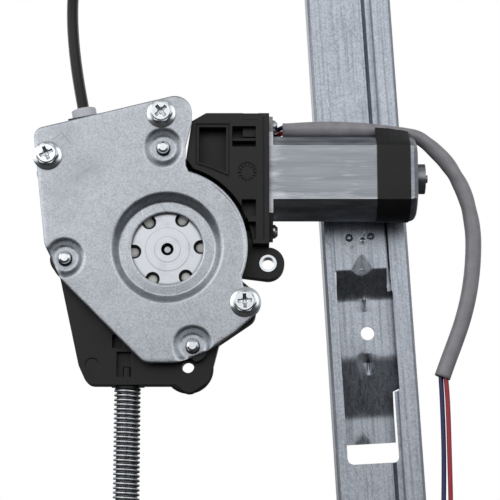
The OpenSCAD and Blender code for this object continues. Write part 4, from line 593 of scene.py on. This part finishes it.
def spaced(*runs):
    """Places from run to run: each run is its start, its end and its step, and the last end closes the list."""
    parts = [np.linspace(a, b, max(2, round(abs(b - a) / step) + 1))[:-1] for a, b, step in runs]
    return np.concatenate(parts + [[runs[-1][1]]])


# ---------------------------------------------------------------- camera
def add_camera():
    """Camera below the drive unit and far off, as the photograph was taken."""
    data = bpy.data.cameras.new("camera")
    data.lens = CAMERA_LENS
    data.sensor_width = 36
    data.clip_end = 20
    camera = bpy.data.objects.new("camera", data)
    camera.location = CAMERA_AT
    aim = Vector(CAMERA_TO) - Vector(CAMERA_AT)
    camera.rotation_euler = aim.to_track_quat("-Z", "Y").to_euler()
    scene.collection.objects.link(camera)
    scene.camera = camera


add_camera()


# ---------------------------------------------------------------- harness
def harness_sleeve():
    """Grey sleeve: an open-ended tube, pressed flat where the tape holds it on the can and dented at its
    bends. Its half-width across is the radius less a hump at each dent, its half-depth grows by part of the
    same share, and on the can the flattened tube sinks so that its underside stays where it lies."""
    path = smooth_between(np.asarray(SLEEVE_ROUTE) + DRIVE, 6)
    place, _ = along(path)
    on_can = 0.5 - 0.5 * np.tanh((place - CAN_END) / CAN_END_SOFT)
    taped, kinks = humps(place, SLEEVE_PRESSED), humps(place, SLEEVE_KINKS)
    across = SLEEVE_R * (1 - taped - kinks + humps(place, SLEEVE_SWELL))
    up = SLEEVE_R * (1 + 0.5 * taped + 0.5 * kinks)
    sink = np.zeros_like(path)
    sink[:, 2] = -on_can * (SLEEVE_R - across)
    outer = sections(path + sink, across, up, SLEEVE_SIDES)
    share = (SLEEVE_R - SLEEVE_WALL) / SLEEVE_R
    inner = sections(path + sink, across * share, up * share, SLEEVE_SIDES)
    rings = np.concatenate((inner[:SLEEVE_MOUTH_RINGS][::-1], outer, inner[-SLEEVE_MOUTH_RINGS:][::-1]))
    piece = ring_mesh("sleeve", rings, "grey_sleeve")
    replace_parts(piece, "harness_sleeve")


def wire_tube(name, route, material):
    """Round wire with flat ends along a route of the drive frame, and the path that it follows."""
    path = smooth_between(np.asarray(route) + DRIVE, 4)
    size = np.full(len(path), WIRE_R)
    return ring_mesh(name, sections(path, size, size, WIRE_SIDES), material), path


def wires():
    """Blue and red wires: they leave the sleeve's end side by side and run down into the connector, and stubs
    of them show between the motor's grommet and the sleeve's start."""
    for name, route, with_pieces in (("blue", BLUE_ROUTE, ["harness_connector"]),
                                     ("red", RED_ROUTE, ["connector_pins"])):
        piece, path = wire_tube(f"{name}_lead", route, f"wire_{name}")
        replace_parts(piece, f"{name}_wire")
    for name, height in LEAD_IN_Z.items():
        wire_tube(f"{name}_lead_in", [(x, depth, height) for x, depth in LEAD_IN], f"wire_{name}")


# ---------------------------------------------------------------- tape round can and sleeve
def support(angle, centre, half_y, radius):
    """Reach of a flat-sided round form in the direction of each angle, in the plane of depth and height: the
    farthest point of a circle of the radius whose depth is cut at half_y either side of its centre."""
    flat_at = np.arccos(np.clip(half_y / radius, -1, 1))
    lean = np.abs(np.arctan2(np.abs(np.sin(angle)), np.abs(np.cos(angle))))
    reach = np.where(lean < flat_at, radius * np.cos(flat_at - lean), radius)
    return centre[0] * np.cos(angle) + centre[1] * np.sin(angle) + reach


def tape():
    """Black tape drawn round the can and the sleeve: each section is the hull of the can's outline and the
    sleeve's, got from their reach in every direction, and the tape dips where the sleeve leaves the can."""
    angle = np.linspace(0, 2 * np.pi, TAPE_SIDES, endpoint=False)
    rows = np.linspace(TAPE_X[0], TAPE_X[1], TAPE_ROWS)
    rings = []
    for x, share in zip(rows, (rows - TAPE_X[0]) / (TAPE_X[1] - TAPE_X[0])):
        ends = 0.00012 * (math.exp(-((share / 0.05) ** 2)) + math.exp(-(((1 - share) / 0.05) ** 2)))
        crease = 0.00010 * math.sin(9 * share + 1.3) * math.cos(23 * share)
        sleeve_at = (TAPED_AT[0], TAPED_AT[1] - TAPED_FALL * share ** 2)
        sleeve_r = TAPED_R - TAPED_R_LOSS * share
        lift = TAPE_T - ends + crease * (0.5 + 0.5 * np.sin(3 * angle + 4 * share))
        reach = np.maximum(support(angle, MOTOR_AXIS, CAN_FLAT, CAN_R),
                           support(angle, sleeve_at, sleeve_r, sleeve_r)) + lift
        slope = np.gradient(np.concatenate((reach[-2:], reach, reach[:2])), angle[1])[2:-2]
        depth = reach * np.cos(angle) - slope * np.sin(angle)
        height = reach * np.sin(angle) + slope * np.cos(angle)
        rings.append(np.stack((np.full_like(angle, x), depth, height), axis=1))
    outer = np.asarray(rings)
    middle = np.array(MOTOR_AXIS)
    inner = outer.copy()
    inner[:, :, 1:] = middle + (outer[:, :, 1:] - middle) * TAPE_IN
    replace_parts(closed_band("tape", np.concatenate((outer, inner[::-1])) + DRIVE, "tape_black"), "tape_wrap")


# ---------------------------------------------------------------- steel coil on the lower conduit
def conduit_coil():
    """Close-wound steel coil: a round wire along a helix about the conduit's axis, its first and last turns
    held flat against the collars, and within it a liner with a faint ripple at the coil's pitch."""
    half = COIL_WIRE / 2
    turns = np.linspace(0, COIL_TURNS, round(COIL_TURNS * COIL_STEPS))
    fall = np.clip(turns * COIL_PITCH, half, COIL_TURNS * COIL_PITCH - half)
    angle = 2 * np.pi * turns
    base = np.asarray(COIL_AT) + DRIVE
    outward = np.stack((np.cos(angle), np.sin(angle), np.zeros_like(angle)), axis=1)
    path = base + (COIL_R - half) * outward - fall[:, None] * UP
    section = np.linspace(0, 2 * np.pi, 12, endpoint=False)
    rings = (path[:, None] + half * np.cos(section)[:, None] * outward[:, None]
             + half * np.sin(section)[:, None] * UP)
    coil = ring_mesh("steel_coil", rings, "spring_steel")
    drop = np.linspace(LINER_INSET, COIL_TURNS * COIL_PITCH - LINER_INSET, 260)[:, None]
    turn = np.linspace(0, 2 * np.pi, 40, endpoint=False)
    radius = LINER_R + LINER_RIPPLE * np.cos(4 * np.pi * drop / COIL_PITCH - 2 * turn) - LINER_RIPPLE
    liner = np.stack((base[0] + radius * np.cos(turn), base[1] + radius * np.sin(turn),
                      base[2] - drop + 0 * turn), axis=2)
    for piece in (coil, ring_mesh("coil_liner", liner, "spring_steel")):
        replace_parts(piece, "conduit_spring")


# ---------------------------------------------------------------- cover plate
def arc_points(centre, radius, from_angle, to_angle, count):
    """Points of an arc about a centre, in degrees from the X axis towards Z."""
    turn = np.radians(np.linspace(from_angle, to_angle, count))
    return np.stack((centre[0] + radius * np.cos(turn), centre[1] + radius * np.sin(turn)), axis=1)


def rounded(corners):
    """Closed outline whose corners, each x, z and radius, are rounded by an arc that touches both sides."""
    points = []
    for k, (x, z, radius) in enumerate(corners):
        here = np.array((x, z))
        if radius == 0:
            points.append(here[None])
            continue
        a, b = (np.asarray(corners[(k + n) % len(corners)][:2]) - here for n in (-1, 1))
        a, b = a / np.linalg.norm(a), b / np.linalg.norm(b)
        half = np.arccos(a @ b) / 2
        middle = here + (a + b) / np.linalg.norm(a + b) * radius / np.sin(half)
        first, last = (here + side * radius / np.tan(half) - middle for side in (a, b))
        angle = math.atan2(first[1], first[0])
        sweep = (math.atan2(last[1], last[0]) - angle + math.pi) % (2 * math.pi) - math.pi
        points.append(arc_points(middle, radius, math.degrees(angle), math.degrees(angle + sweep), 12))
    return np.concatenate(points)


def even(points, step):
    """Closed line set out again at equal steps."""
    loop = np.vstack((points, points[:1]))
    run = np.concatenate(([0], np.cumsum(np.linalg.norm(np.diff(loop, axis=0), axis=1))))
    at = np.linspace(0, run[-1], round(run[-1] / step), endpoint=False)
    return np.stack((np.interp(at, run, loop[:, 0]), np.interp(at, run, loop[:, 1])), axis=1)


def polar_net(centre, radii, spacing, from_angle=0.0, to_angle=360.0):
    """Rings of points about a centre, each ring with points at about the same spacing."""
    rings = []
    for radius in radii:
        count = max(8, round(math.radians(to_angle - from_angle) * radius / spacing))
        rings.append(arc_points(centre, radius, from_angle, to_angle, count + 1)[:-1])
    return np.concatenate(rings)


def within(points, outline):
    """Which points the closed outline holds, by the count of its sides that lie to their right."""
    x, z = points[:, 0, None], points[:, 1, None]
    (ax, az), (bx, bz) = outline.T, np.roll(outline, -1, axis=0).T
    crossing = (az > z) != (bz > z)
    at = ax + (z - az) * (bx - ax) / np.where(bz == az, 1e-9, bz - az)
    return (crossing & (x < at)).sum(axis=1) % 2 == 1


def plate_depth(p):
    """Depth in millimetres of the plate's front: a round dish whose floor rises a little to its opening,
    three pads whose walls are level-ended cubic steps, a shallow line beside the arc, and a faint waviness."""
    reach = np.hypot(p[:, 0], p[:, 1])
    t = np.clip((reach - DISH[0]) / (DISH[1] - DISH[0]), 0, 1)
    y = DISH[2] * (1 - 0.55 * eased(t) - 0.45 * (1 - (1 - t) ** 2))
    y = y - DISH_CONE * np.clip((DISH[0] - reach) / (DISH[0] - PLATE_OPENING), 0, 1)
    for centre in PLATE_PADS:
        off = np.hypot(p[:, 0] - centre[0], p[:, 1] - centre[1])
        y = np.maximum(y, PAD[2] * (1 - eased((off - PAD[0]) / (PAD[1] - PAD[0]))))
    angle = np.degrees(np.arctan2(p[:, 1], p[:, 0]))
    ends = eased((angle + 24) / 8) * eased((58 - angle) / 8)
    y = y + 0.28 * ends * bell(reach, EDGE_LINE_R, 0.32)
    return y + 0.05 * np.sin(p[:, 0] / 9 + 1) * np.sin(p[:, 1] / 11) + 0.03 * np.sin((p[:, 0] + p[:, 1]) / 6)


def cover_plate():
    """Stamped cover plate: points in rings round each pressed form and a plain net between them, joined by
    triangles within the outline, and set back by the plate's depth. Its front edges are rolled over."""
    centre = np.zeros(2)
    outline = even(rounded(PLATE_CORNERS), 0.8)
    along_edge = np.roll(outline, -1, axis=0) - np.roll(outline, 1, axis=0)
    inward = np.stack((-along_edge[:, 1], along_edge[:, 0]), axis=1)
    inward /= np.linalg.norm(inward, axis=1)[:, None]
    area = (outline[:, 0] * np.roll(outline[:, 1], -1) - np.roll(outline[:, 0], -1) * outline[:, 1]).sum()
    inward *= np.sign(area)
    rows, roll = [outline], [np.full(len(outline), PLATE_ROLL)]
    for gap in ROLL_GAPS:
        rows.append(outline + gap * inward)
        roll.append(np.full(len(outline), PLATE_ROLL * (1 - gap / ROLL_GAPS[2]) ** 2))
    holes = [(centre, PLATE_OPENING, 140)] + [(at, SCREW_HOLE_R, 40) for at in PLATE_SCREWS + PLATE_PADS]
    loops = [len(outline)]
    for at, radius, count in holes:
        rows.insert(len(loops), arc_points(at, radius, 0, 360, count + 1)[:-1])
        roll.insert(len(loops), np.full(count, PLATE_ROLL))
        loops.append(count)
    rows.append(polar_net(centre, PLATE_OPENING + np.array(ROLL_GAPS[:2]), 0.8))
    roll.append(PLATE_ROLL * (1 - (np.hypot(*rows[-1].T) - PLATE_OPENING) / ROLL_GAPS[2]) ** 2)

    nets = [polar_net(centre, np.arange(PLATE_OPENING + ROLL_GAPS[2], DISH[1] + 1, 0.5), 0.85)]
    nets += [polar_net(at, np.arange(3.7, PAD[1] + 0.6, 0.5), 0.75) for at in PLATE_PADS]
    nets.append(polar_net(centre, np.arange(EDGE_LINE_R - 0.8, EDGE_LINE_R + 0.81, 0.2), 0.8, -28, 62))
    x, z = np.meshgrid(np.arange(-66, 48, 2.0), np.arange(-56, 78, 2.0))
    plain = np.stack((x.ravel() + 0.5 * (z.ravel() / 2 % 2), z.ravel()), axis=1)
    far = np.hypot(*plain.T) > DISH[1] + 1
    for at in PLATE_PADS:
        far &= np.hypot(plain[:, 0] - at[0], plain[:, 1] - at[1]) > PAD[1] + 0.8
    far &= np.abs(np.hypot(*plain.T) - EDGE_LINE_R) > 1.2
    nets.append(plain[far])
    net = np.concatenate(nets)
    clear = np.min(np.hypot(net[:, 0, None] - outline[:, 0], net[:, 1, None] - outline[:, 1]), axis=1) > 1.25
    for at, radius, _ in holes:
        clear &= np.hypot(net[:, 0] - at[0], net[:, 1] - at[1]) > radius + 0.35
    net = net[clear & within(net, outline)]
    points = np.concatenate(rows + [net])
    rolled = np.concatenate(roll + [np.zeros(len(net))])

    edges, base = [], 0
    for count in loops:
        edges += [(base + k, base + (k + 1) % count) for k in range(count)]
        base += count
    flat, _, faces, source, _, _ = delaunay_2d_cdt([Vector(p) for p in points.tolist()], edges, [], 1, 1e-6)
    flat = np.asarray([tuple(p) for p in flat])
    rolled = np.asarray([rolled[k[0]] if k else 0.0 for k in source])
    faces = np.asarray([f for f in faces if len(f) == 3])
    middle = flat[faces].mean(axis=1)
    keep = within(middle, outline)
    for at, radius, count in holes:
        keep &= np.hypot(middle[:, 0] - at[0], middle[:, 1] - at[1]) > radius * math.cos(math.pi / count)
    faces = faces[keep]
    corner = flat[faces]
    side_a, side_b = corner[:, 1] - corner[:, 0], corner[:, 2] - corner[:, 0]
    turned = side_a[:, 0] * side_b[:, 1] < side_a[:, 1] * side_b[:, 0]
    faces[turned] = faces[turned][:, ::-1]
    depth = plate_depth(flat)
    front = np.stack((flat[:, 0], depth + rolled, flat[:, 1]), axis=1) / 1000 + DRIVE
    back = np.stack((flat[:, 0], depth + PLATE_T, flat[:, 1]), axis=1) / 1000 + DRIVE
    closed_sheet("cover_plate_sheet", front, back, faces, "zinc_plate", "drum_cover_plate")


# ---------------------------------------------------------------- cover screws
def screw_depth(x, z, turn):
    """Depth in millimetres of a cover screw's face: a flange that rises in a cone, a hexagon with rounded
    corners, a raised round top, and a cross recess whose arms deepen towards the middle."""
    reach = np.hypot(x, z)
    y = -0.45 - 1.1 * np.clip((SCREW_FLANGE_R - reach) / 2.1, 0, 1) ** 0.8
    sides = sum(np.abs(x * math.cos(a) + z * math.sin(a)) ** 16 for a in np.radians(HEX_TURNS)) ** (1 / 16)
    share = eased((SCREW_HEX - sides) / 0.3 + 0.5)
    y = y * (1 - share) - 5.2 * share - 0.7 * eased((4.85 - reach) / 0.45)
    u = x * math.cos(turn) + z * math.sin(turn)
    v = z * math.cos(turn) - x * math.sin(turn)
    recess = 1.9 * eased((1.9 - reach) / 1.1)
    for length, width in ((np.abs(u), np.abs(v)), (np.abs(v), np.abs(u))):
        arm = eased((0.86 - width) / 0.2) * eased((3.5 - length) / 0.35)
        recess = np.maximum(recess, arm * (0.9 + 1.1 * np.maximum(1 - length / 3.5, 0)))
    return y + recess


def cover_screws():
    """Three hex-flange screws: each face is a net of rings set forward by its depth, and its rings run on
    round the flange's edge, under it and down the shank."""
    radii = spaced((0.06, 4.2, 0.12), (4.2, 6.0, 0.07), (6.0, SCREW_FLANGE_R, 0.12))
    edge = ((SCREW_FLANGE_R, 0.0), (SCREW_R, 0.0), (SCREW_R, SCREW_SHANK), (0.5, SCREW_SHANK))
    turn = np.linspace(0, 2 * np.pi, 180, endpoint=False)
    for k, (at, cross) in enumerate(zip(PLATE_SCREWS, SCREW_TURNS)):
        x, z = radii[:, None] * np.cos(turn), radii[:, None] * np.sin(turn)
        face = np.stack((x, screw_depth(x, z, math.radians(cross)), z), axis=2)
        rings = np.concatenate((face, revolved(edge, turn))) + np.array((at[0], 0, at[1]))
        piece = ring_mesh(f"cover_screw_{k}", rings / 1000 + DRIVE, "zinc_bright")
        piece.data.set_sharp_from_angle(angle=math.radians(40))
        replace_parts(piece, "cover_screws")


# ---------------------------------------------------------------- lobe of the drum housing
def housing_lobe():
    """Round lobe about the housing's lower hole: a flat ring whose outer edges are rounded over, inside the
    housing's own thickness, so that the outline runs round where the solid's is cornered."""
    turn = np.linspace(0, 2 * np.pi, 120, endpoint=False)
    near, far = LOBE_Y
    profile = ((LOBE_HOLE_R, near), (LOBE_R - 0.6, near), (LOBE_R - 0.17, near + 0.17), (LOBE_R, near + 0.6),
               (LOBE_R, far - 0.6), (LOBE_R - 0.17, far - 0.17), (LOBE_R - 0.6, far), (LOBE_HOLE_R, far))
    rings = revolved(profile, turn) + np.array((LOBE_AT[0], 0, LOBE_AT[1]))
    piece = closed_band("housing_lobe", rings / 1000 + DRIVE, "black_moulding")
    piece.data.set_sharp_from_angle(angle=math.radians(40))


# ---------------------------------------------------------------- bracket on the rail
def below(z, bend, soft):
    """Distance below the bend, nought above it, with the corner rounded by a parabola over its softness."""
    drop = bend - z
    return np.where(np.abs(drop) < soft, (drop + soft) ** 2 / (4 * soft), np.maximum(drop, 0))


def bent_depth(x, z):
    """Depth of the bracket's front: the bent line, three pressed darts across its bends, two clinch points,
    a pressed pip and small tool marks. A dart is a cone cut into the corner or raised out of it."""
    fall = (SHEET_Y[1] - SHEET_Y[0]) / (BEND_Z[0] - BEND_Z[1])
    low_fall = (SHEET_Y[2] - SHEET_Y[1]) / (BEND_Z[2] - BEND_Z[3])
    a, b, c, d = (below(z, bend, soft) for bend, soft in zip(BEND_Z, BEND_SOFT))
    y = SHEET_Y[0] + fall * (a - b) + low_fall * (c - d)

    down = np.maximum(0.0400 - z, 1e-6)
    reach = np.abs(x + 0.0011 + 0.05 * down) / (0.0056 * (down / 0.0076) ** 0.75)
    floor = SHEET_Y[0] + 0.19 * down * (1 - 1.05 * np.minimum(reach, 3) ** 1.5)
    y = 0.5 * (y + floor + np.sqrt((y - floor) ** 2 + 0.00016 ** 2))

    off = x + 0.0007
    rise = np.clip(np.minimum((0.0225 - z) / 0.0055, (z - 0.0112) / 0.0062), 0, 1)
    y = y - 0.0014 * rise * (0.55 * bell(off, 0, 0.0007) + 0.45 * bell(off, 0, 0.0034))

    off = x + 0.0006
    sunk = np.clip(np.minimum((-0.0104 - z) / 0.0045, (z + 0.0215) / 0.0066), 0, 1)
    y = y + 0.0021 * sunk * (0.6 * bell(off, 0, 0.0006) + 0.4 * bell(off, 0, 0.0026))

    ring = np.hypot(x - CLINCHES[0][0], z - CLINCHES[0][1])
    y = y + 0.0009 * bell(ring, 0.00145, 0.00030)
    ring = np.hypot(x - CLINCHES[1][0], z - CLINCHES[1][1])
    y = y + 0.0013 * eased((0.00190 - ring) / 0.0005) + 0.0005 * bell(ring, 0.00115, 0.00030)
    ring = np.hypot(x - PIP[0], z - PIP[1])
    y = y - 0.00034 * bell(ring, 0, 0.0009) + 0.00014 * bell(ring, 0.0016, 0.0003)
    for mx, mz, lean in TOOL_MARKS:
        u = (x - mx) * math.cos(lean) + (z - mz) * math.sin(lean)
        v = (z - mz) * math.cos(lean) - (x - mx) * math.sin(lean)
        y = y + 0.00016 * bell(u, 0, 0.0012) * bell(v, 0, 0.00028)
    return y


def bracket():
    """Bracket of one bent sheet: a grid across and down the strip, warped so that a block of its cells opens
    as the round hole. Front and back differ by the sheet's thickness along the bent line's normal."""
    flat_x, flat_z = np.meshgrid(spaced(*SHEET_RUNS_X) / 1000, spaced(*SHEET_RUNS_Z) / 1000)
    inside = (np.abs(flat_x) < HOLE_CELL - 1e-6) & (np.abs(flat_z) < HOLE_CELL - 1e-6)
    square = np.maximum(np.abs(flat_x), np.abs(flat_z))
    turn = eased((HOLE_REACH - square) / (HOLE_REACH - HOLE_CELL))
    length = np.maximum(np.hypot(flat_x, flat_z), 1e-9)
    round_x, round_z = (square * HOLE_R / HOLE_CELL / length * side for side in (flat_x, flat_z))
    px, pz = flat_x + turn * (round_x - flat_x), flat_z + turn * (round_z - flat_z)
    wide = eased((pz - WIDE_Z[0]) / WIDE_SOFT + 0.5) * eased((WIDE_Z[1] - pz) / WIDE_SOFT + 0.5)
    narrow = np.maximum(px - NARROW_FROM, 0) * (SHEET_X[1] - SHEET_X[0]) / (SHEET_X[1] - NARROW_FROM)
    px = px - (1 - wide) * narrow

    front = bent_depth(px, pz)
    step = 1e-5
    plain = np.full_like(px, -0.012)
    slope = (bent_depth(plain, pz - step) - bent_depth(plain, pz + step)) / (2 * step)
    size = np.sqrt(1 + slope ** 2)
    back, back_z = front + SHEET_T / size, pz + SHEET_T * slope / size
    index = np.arange(px.size).reshape(px.shape)
    hole = inside[:-1, :-1] | inside[1:, 1:] | inside[:-1, 1:] | inside[1:, :-1]
    cells = np.stack((index[:-1, :-1], index[1:, :-1], index[1:, 1:], index[:-1, 1:]), axis=2)[~hole]
    closed_sheet("bracket_sheet", rail_place(px, front, pz).reshape(-1, 3),
                 rail_place(px, back, back_z).reshape(-1, 3), cells, "rail_zinc", "rail_bracket")


def rail_place(x, y, z):
    """World place of a point given in the rail's frame, which leans to the left about the bracket's hole."""
    return np.stack((x * math.cos(RAIL_LEAN) - z * math.sin(RAIL_LEAN), y + DRIVE[1],
                     x * math.sin(RAIL_LEAN) + z * math.cos(RAIL_LEAN)), axis=-1)


# ---------------------------------------------------------------- mould marks on the gearbox
def tick_ring():
    """Ring of small raised dashes, as a mould's dial insert leaves them: each a low rounded bar."""
    verts, faces = np.zeros((0, 3)), []
    span = np.linspace(-TICK_HALF, TICK_HALF, 6)
    width = TICK_WIDTH * np.sqrt(np.clip(1 - (span / 0.00085) ** 2, 0.08, 1))
    turn = np.linspace(0, 2 * np.pi, 10, endpoint=False)
    for k in range(TICK_COUNT):
        angle = 2 * math.pi * k / TICK_COUNT
        out = np.array((math.cos(angle), 0, math.sin(angle)))
        side = np.array((-math.sin(angle), 0, math.cos(angle)))
        rings = (np.asarray(TICK_CENTRE) + DRIVE + TICK_RING_R * out + span[:, None, None] * out
                 + (width[:, None] * np.cos(turn))[:, :, None] * side
                 - (0.8 * width[:, None] * np.sin(turn))[:, :, None] * np.array((0, 1.0, 0)))
        bar, bar_faces = ring_skin(rings)
        faces += [tuple(i + len(verts) for i in face) for face in bar_faces]
        verts = np.concatenate((verts, bar))
    solid("mould_ticks", verts, faces, "black_moulding", smooth=False)


# ---------------------------------------------------------------- CAD nodes
def dress_nodes():
    """Every CAD node gets its slot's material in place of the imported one."""
    slots = {part["node"]: part["material_slot"] for part in frame["record"]["subparts"]}
    for name, node in frame["nodes"].items():
        node.data.materials.clear()
        node.data.materials.append(MATERIALS[slots[name]])


dress_nodes()
harness_sleeve()
wires()
tape()
conduit_coil()
cover_plate()
cover_screws()
housing_lobe()
bracket()
tick_ring()


# ---------------------------------------------------------------- stage
def add_floor():
    """White studio floor under the lowest point. Only the camera sees it white, with the shadows on it, so
    that it throws no light up under the object."""
    low = cad_bounds[0][2] - FLOOR_GAP
    mesh = bpy.data.meshes.new("floor")
    corners = [(x * FLOOR_REACH, y * FLOOR_REACH, low) for x, y in ((-1, -1), (1, -1), (1, 1), (-1, 1))]
    mesh.from_pydata(corners, [], [(0, 1, 2, 3)])
    floor = bpy.data.objects.new("floor", mesh)
    scene.collection.objects.link(floor)
    material, tree, shader = start("studio_white", Roughness=0.9)
    seen = add(tree, "LightPath").outputs["Is Camera Ray"]
    tree.links.new(blend(tree, seen, linear("3a3a3a"), linear("fafafa")), shader.inputs["Base Color"])
    mesh.materials.append(material)


def add_world():
    """Studio surround: white to the camera, and to the object a tent bright in front, dim at the sides and
    above, and dark below."""
    world = bpy.data.worlds.new("studio")
    world.use_nodes = True
    tree = world.node_tree
    tree.nodes.clear()
    place = add(tree, "TexCoord").outputs["Generated"]
    split = add(tree, "SeparateXYZ", {0: place}).outputs
    level = add(tree, "ValToRGB", {0: ramp(tree, split[2], -1.0, 1.0)})
    beside = ramp(tree, times(tree, split[0], split[0]), 0.3, 0.8, 0.0, 0.6)
    marks = level.color_ramp.elements
    marks[0].position, marks[0].color = 0.30, (0.01, 0.01, 0.01, 1)
    marks[1].position, marks[1].color = 1.0, (0.32, 0.32, 0.32, 1)
    for at, value in ((0.45, 0.06), (0.51, 0.45), (0.57, 0.86), (0.68, 0.88), (0.82, 0.46)):
        mark = marks.new(at)
        mark.color = (value, value, value, 1)
    shade = blend(tree, beside, level.outputs[0], (0.22, 0.22, 0.23, 1))
    tent = add(tree, "Background", {"Color": shade, "Strength": 1.15})
    white = add(tree, "Background", {"Color": (1, 1, 1, 1), "Strength": 1.0})
    seen = add(tree, "LightPath").outputs["Is Camera Ray"]
    both = add(tree, "MixShader", {0: seen, 1: tent.outputs[0], 2: white.outputs[0]})
    add(tree, "OutputWorld", {"Surface": both.outputs[0]})
    scene.world = world


def add_lamp(name, size, at, power):
    """Square soft box aimed at the drive unit."""
    data = bpy.data.lights.new(name, "AREA")
    data.size = size
    data.energy = power
    lamp = bpy.data.objects.new(name, data)
    lamp.location = at
    lamp.rotation_euler = (Vector(CAMERA_TO) - Vector(at)).to_track_quat("-Z", "Y").to_euler()
    scene.collection.objects.link(lamp)


add_floor()
add_world()
add_lamp("left_box", 2.6, (-1.4, -1.3, 0.42), 20)
add_lamp("right_box", 2.0, (1.0, -1.6, 0.7), 8)
scene.view_settings.view_transform = "Standard"
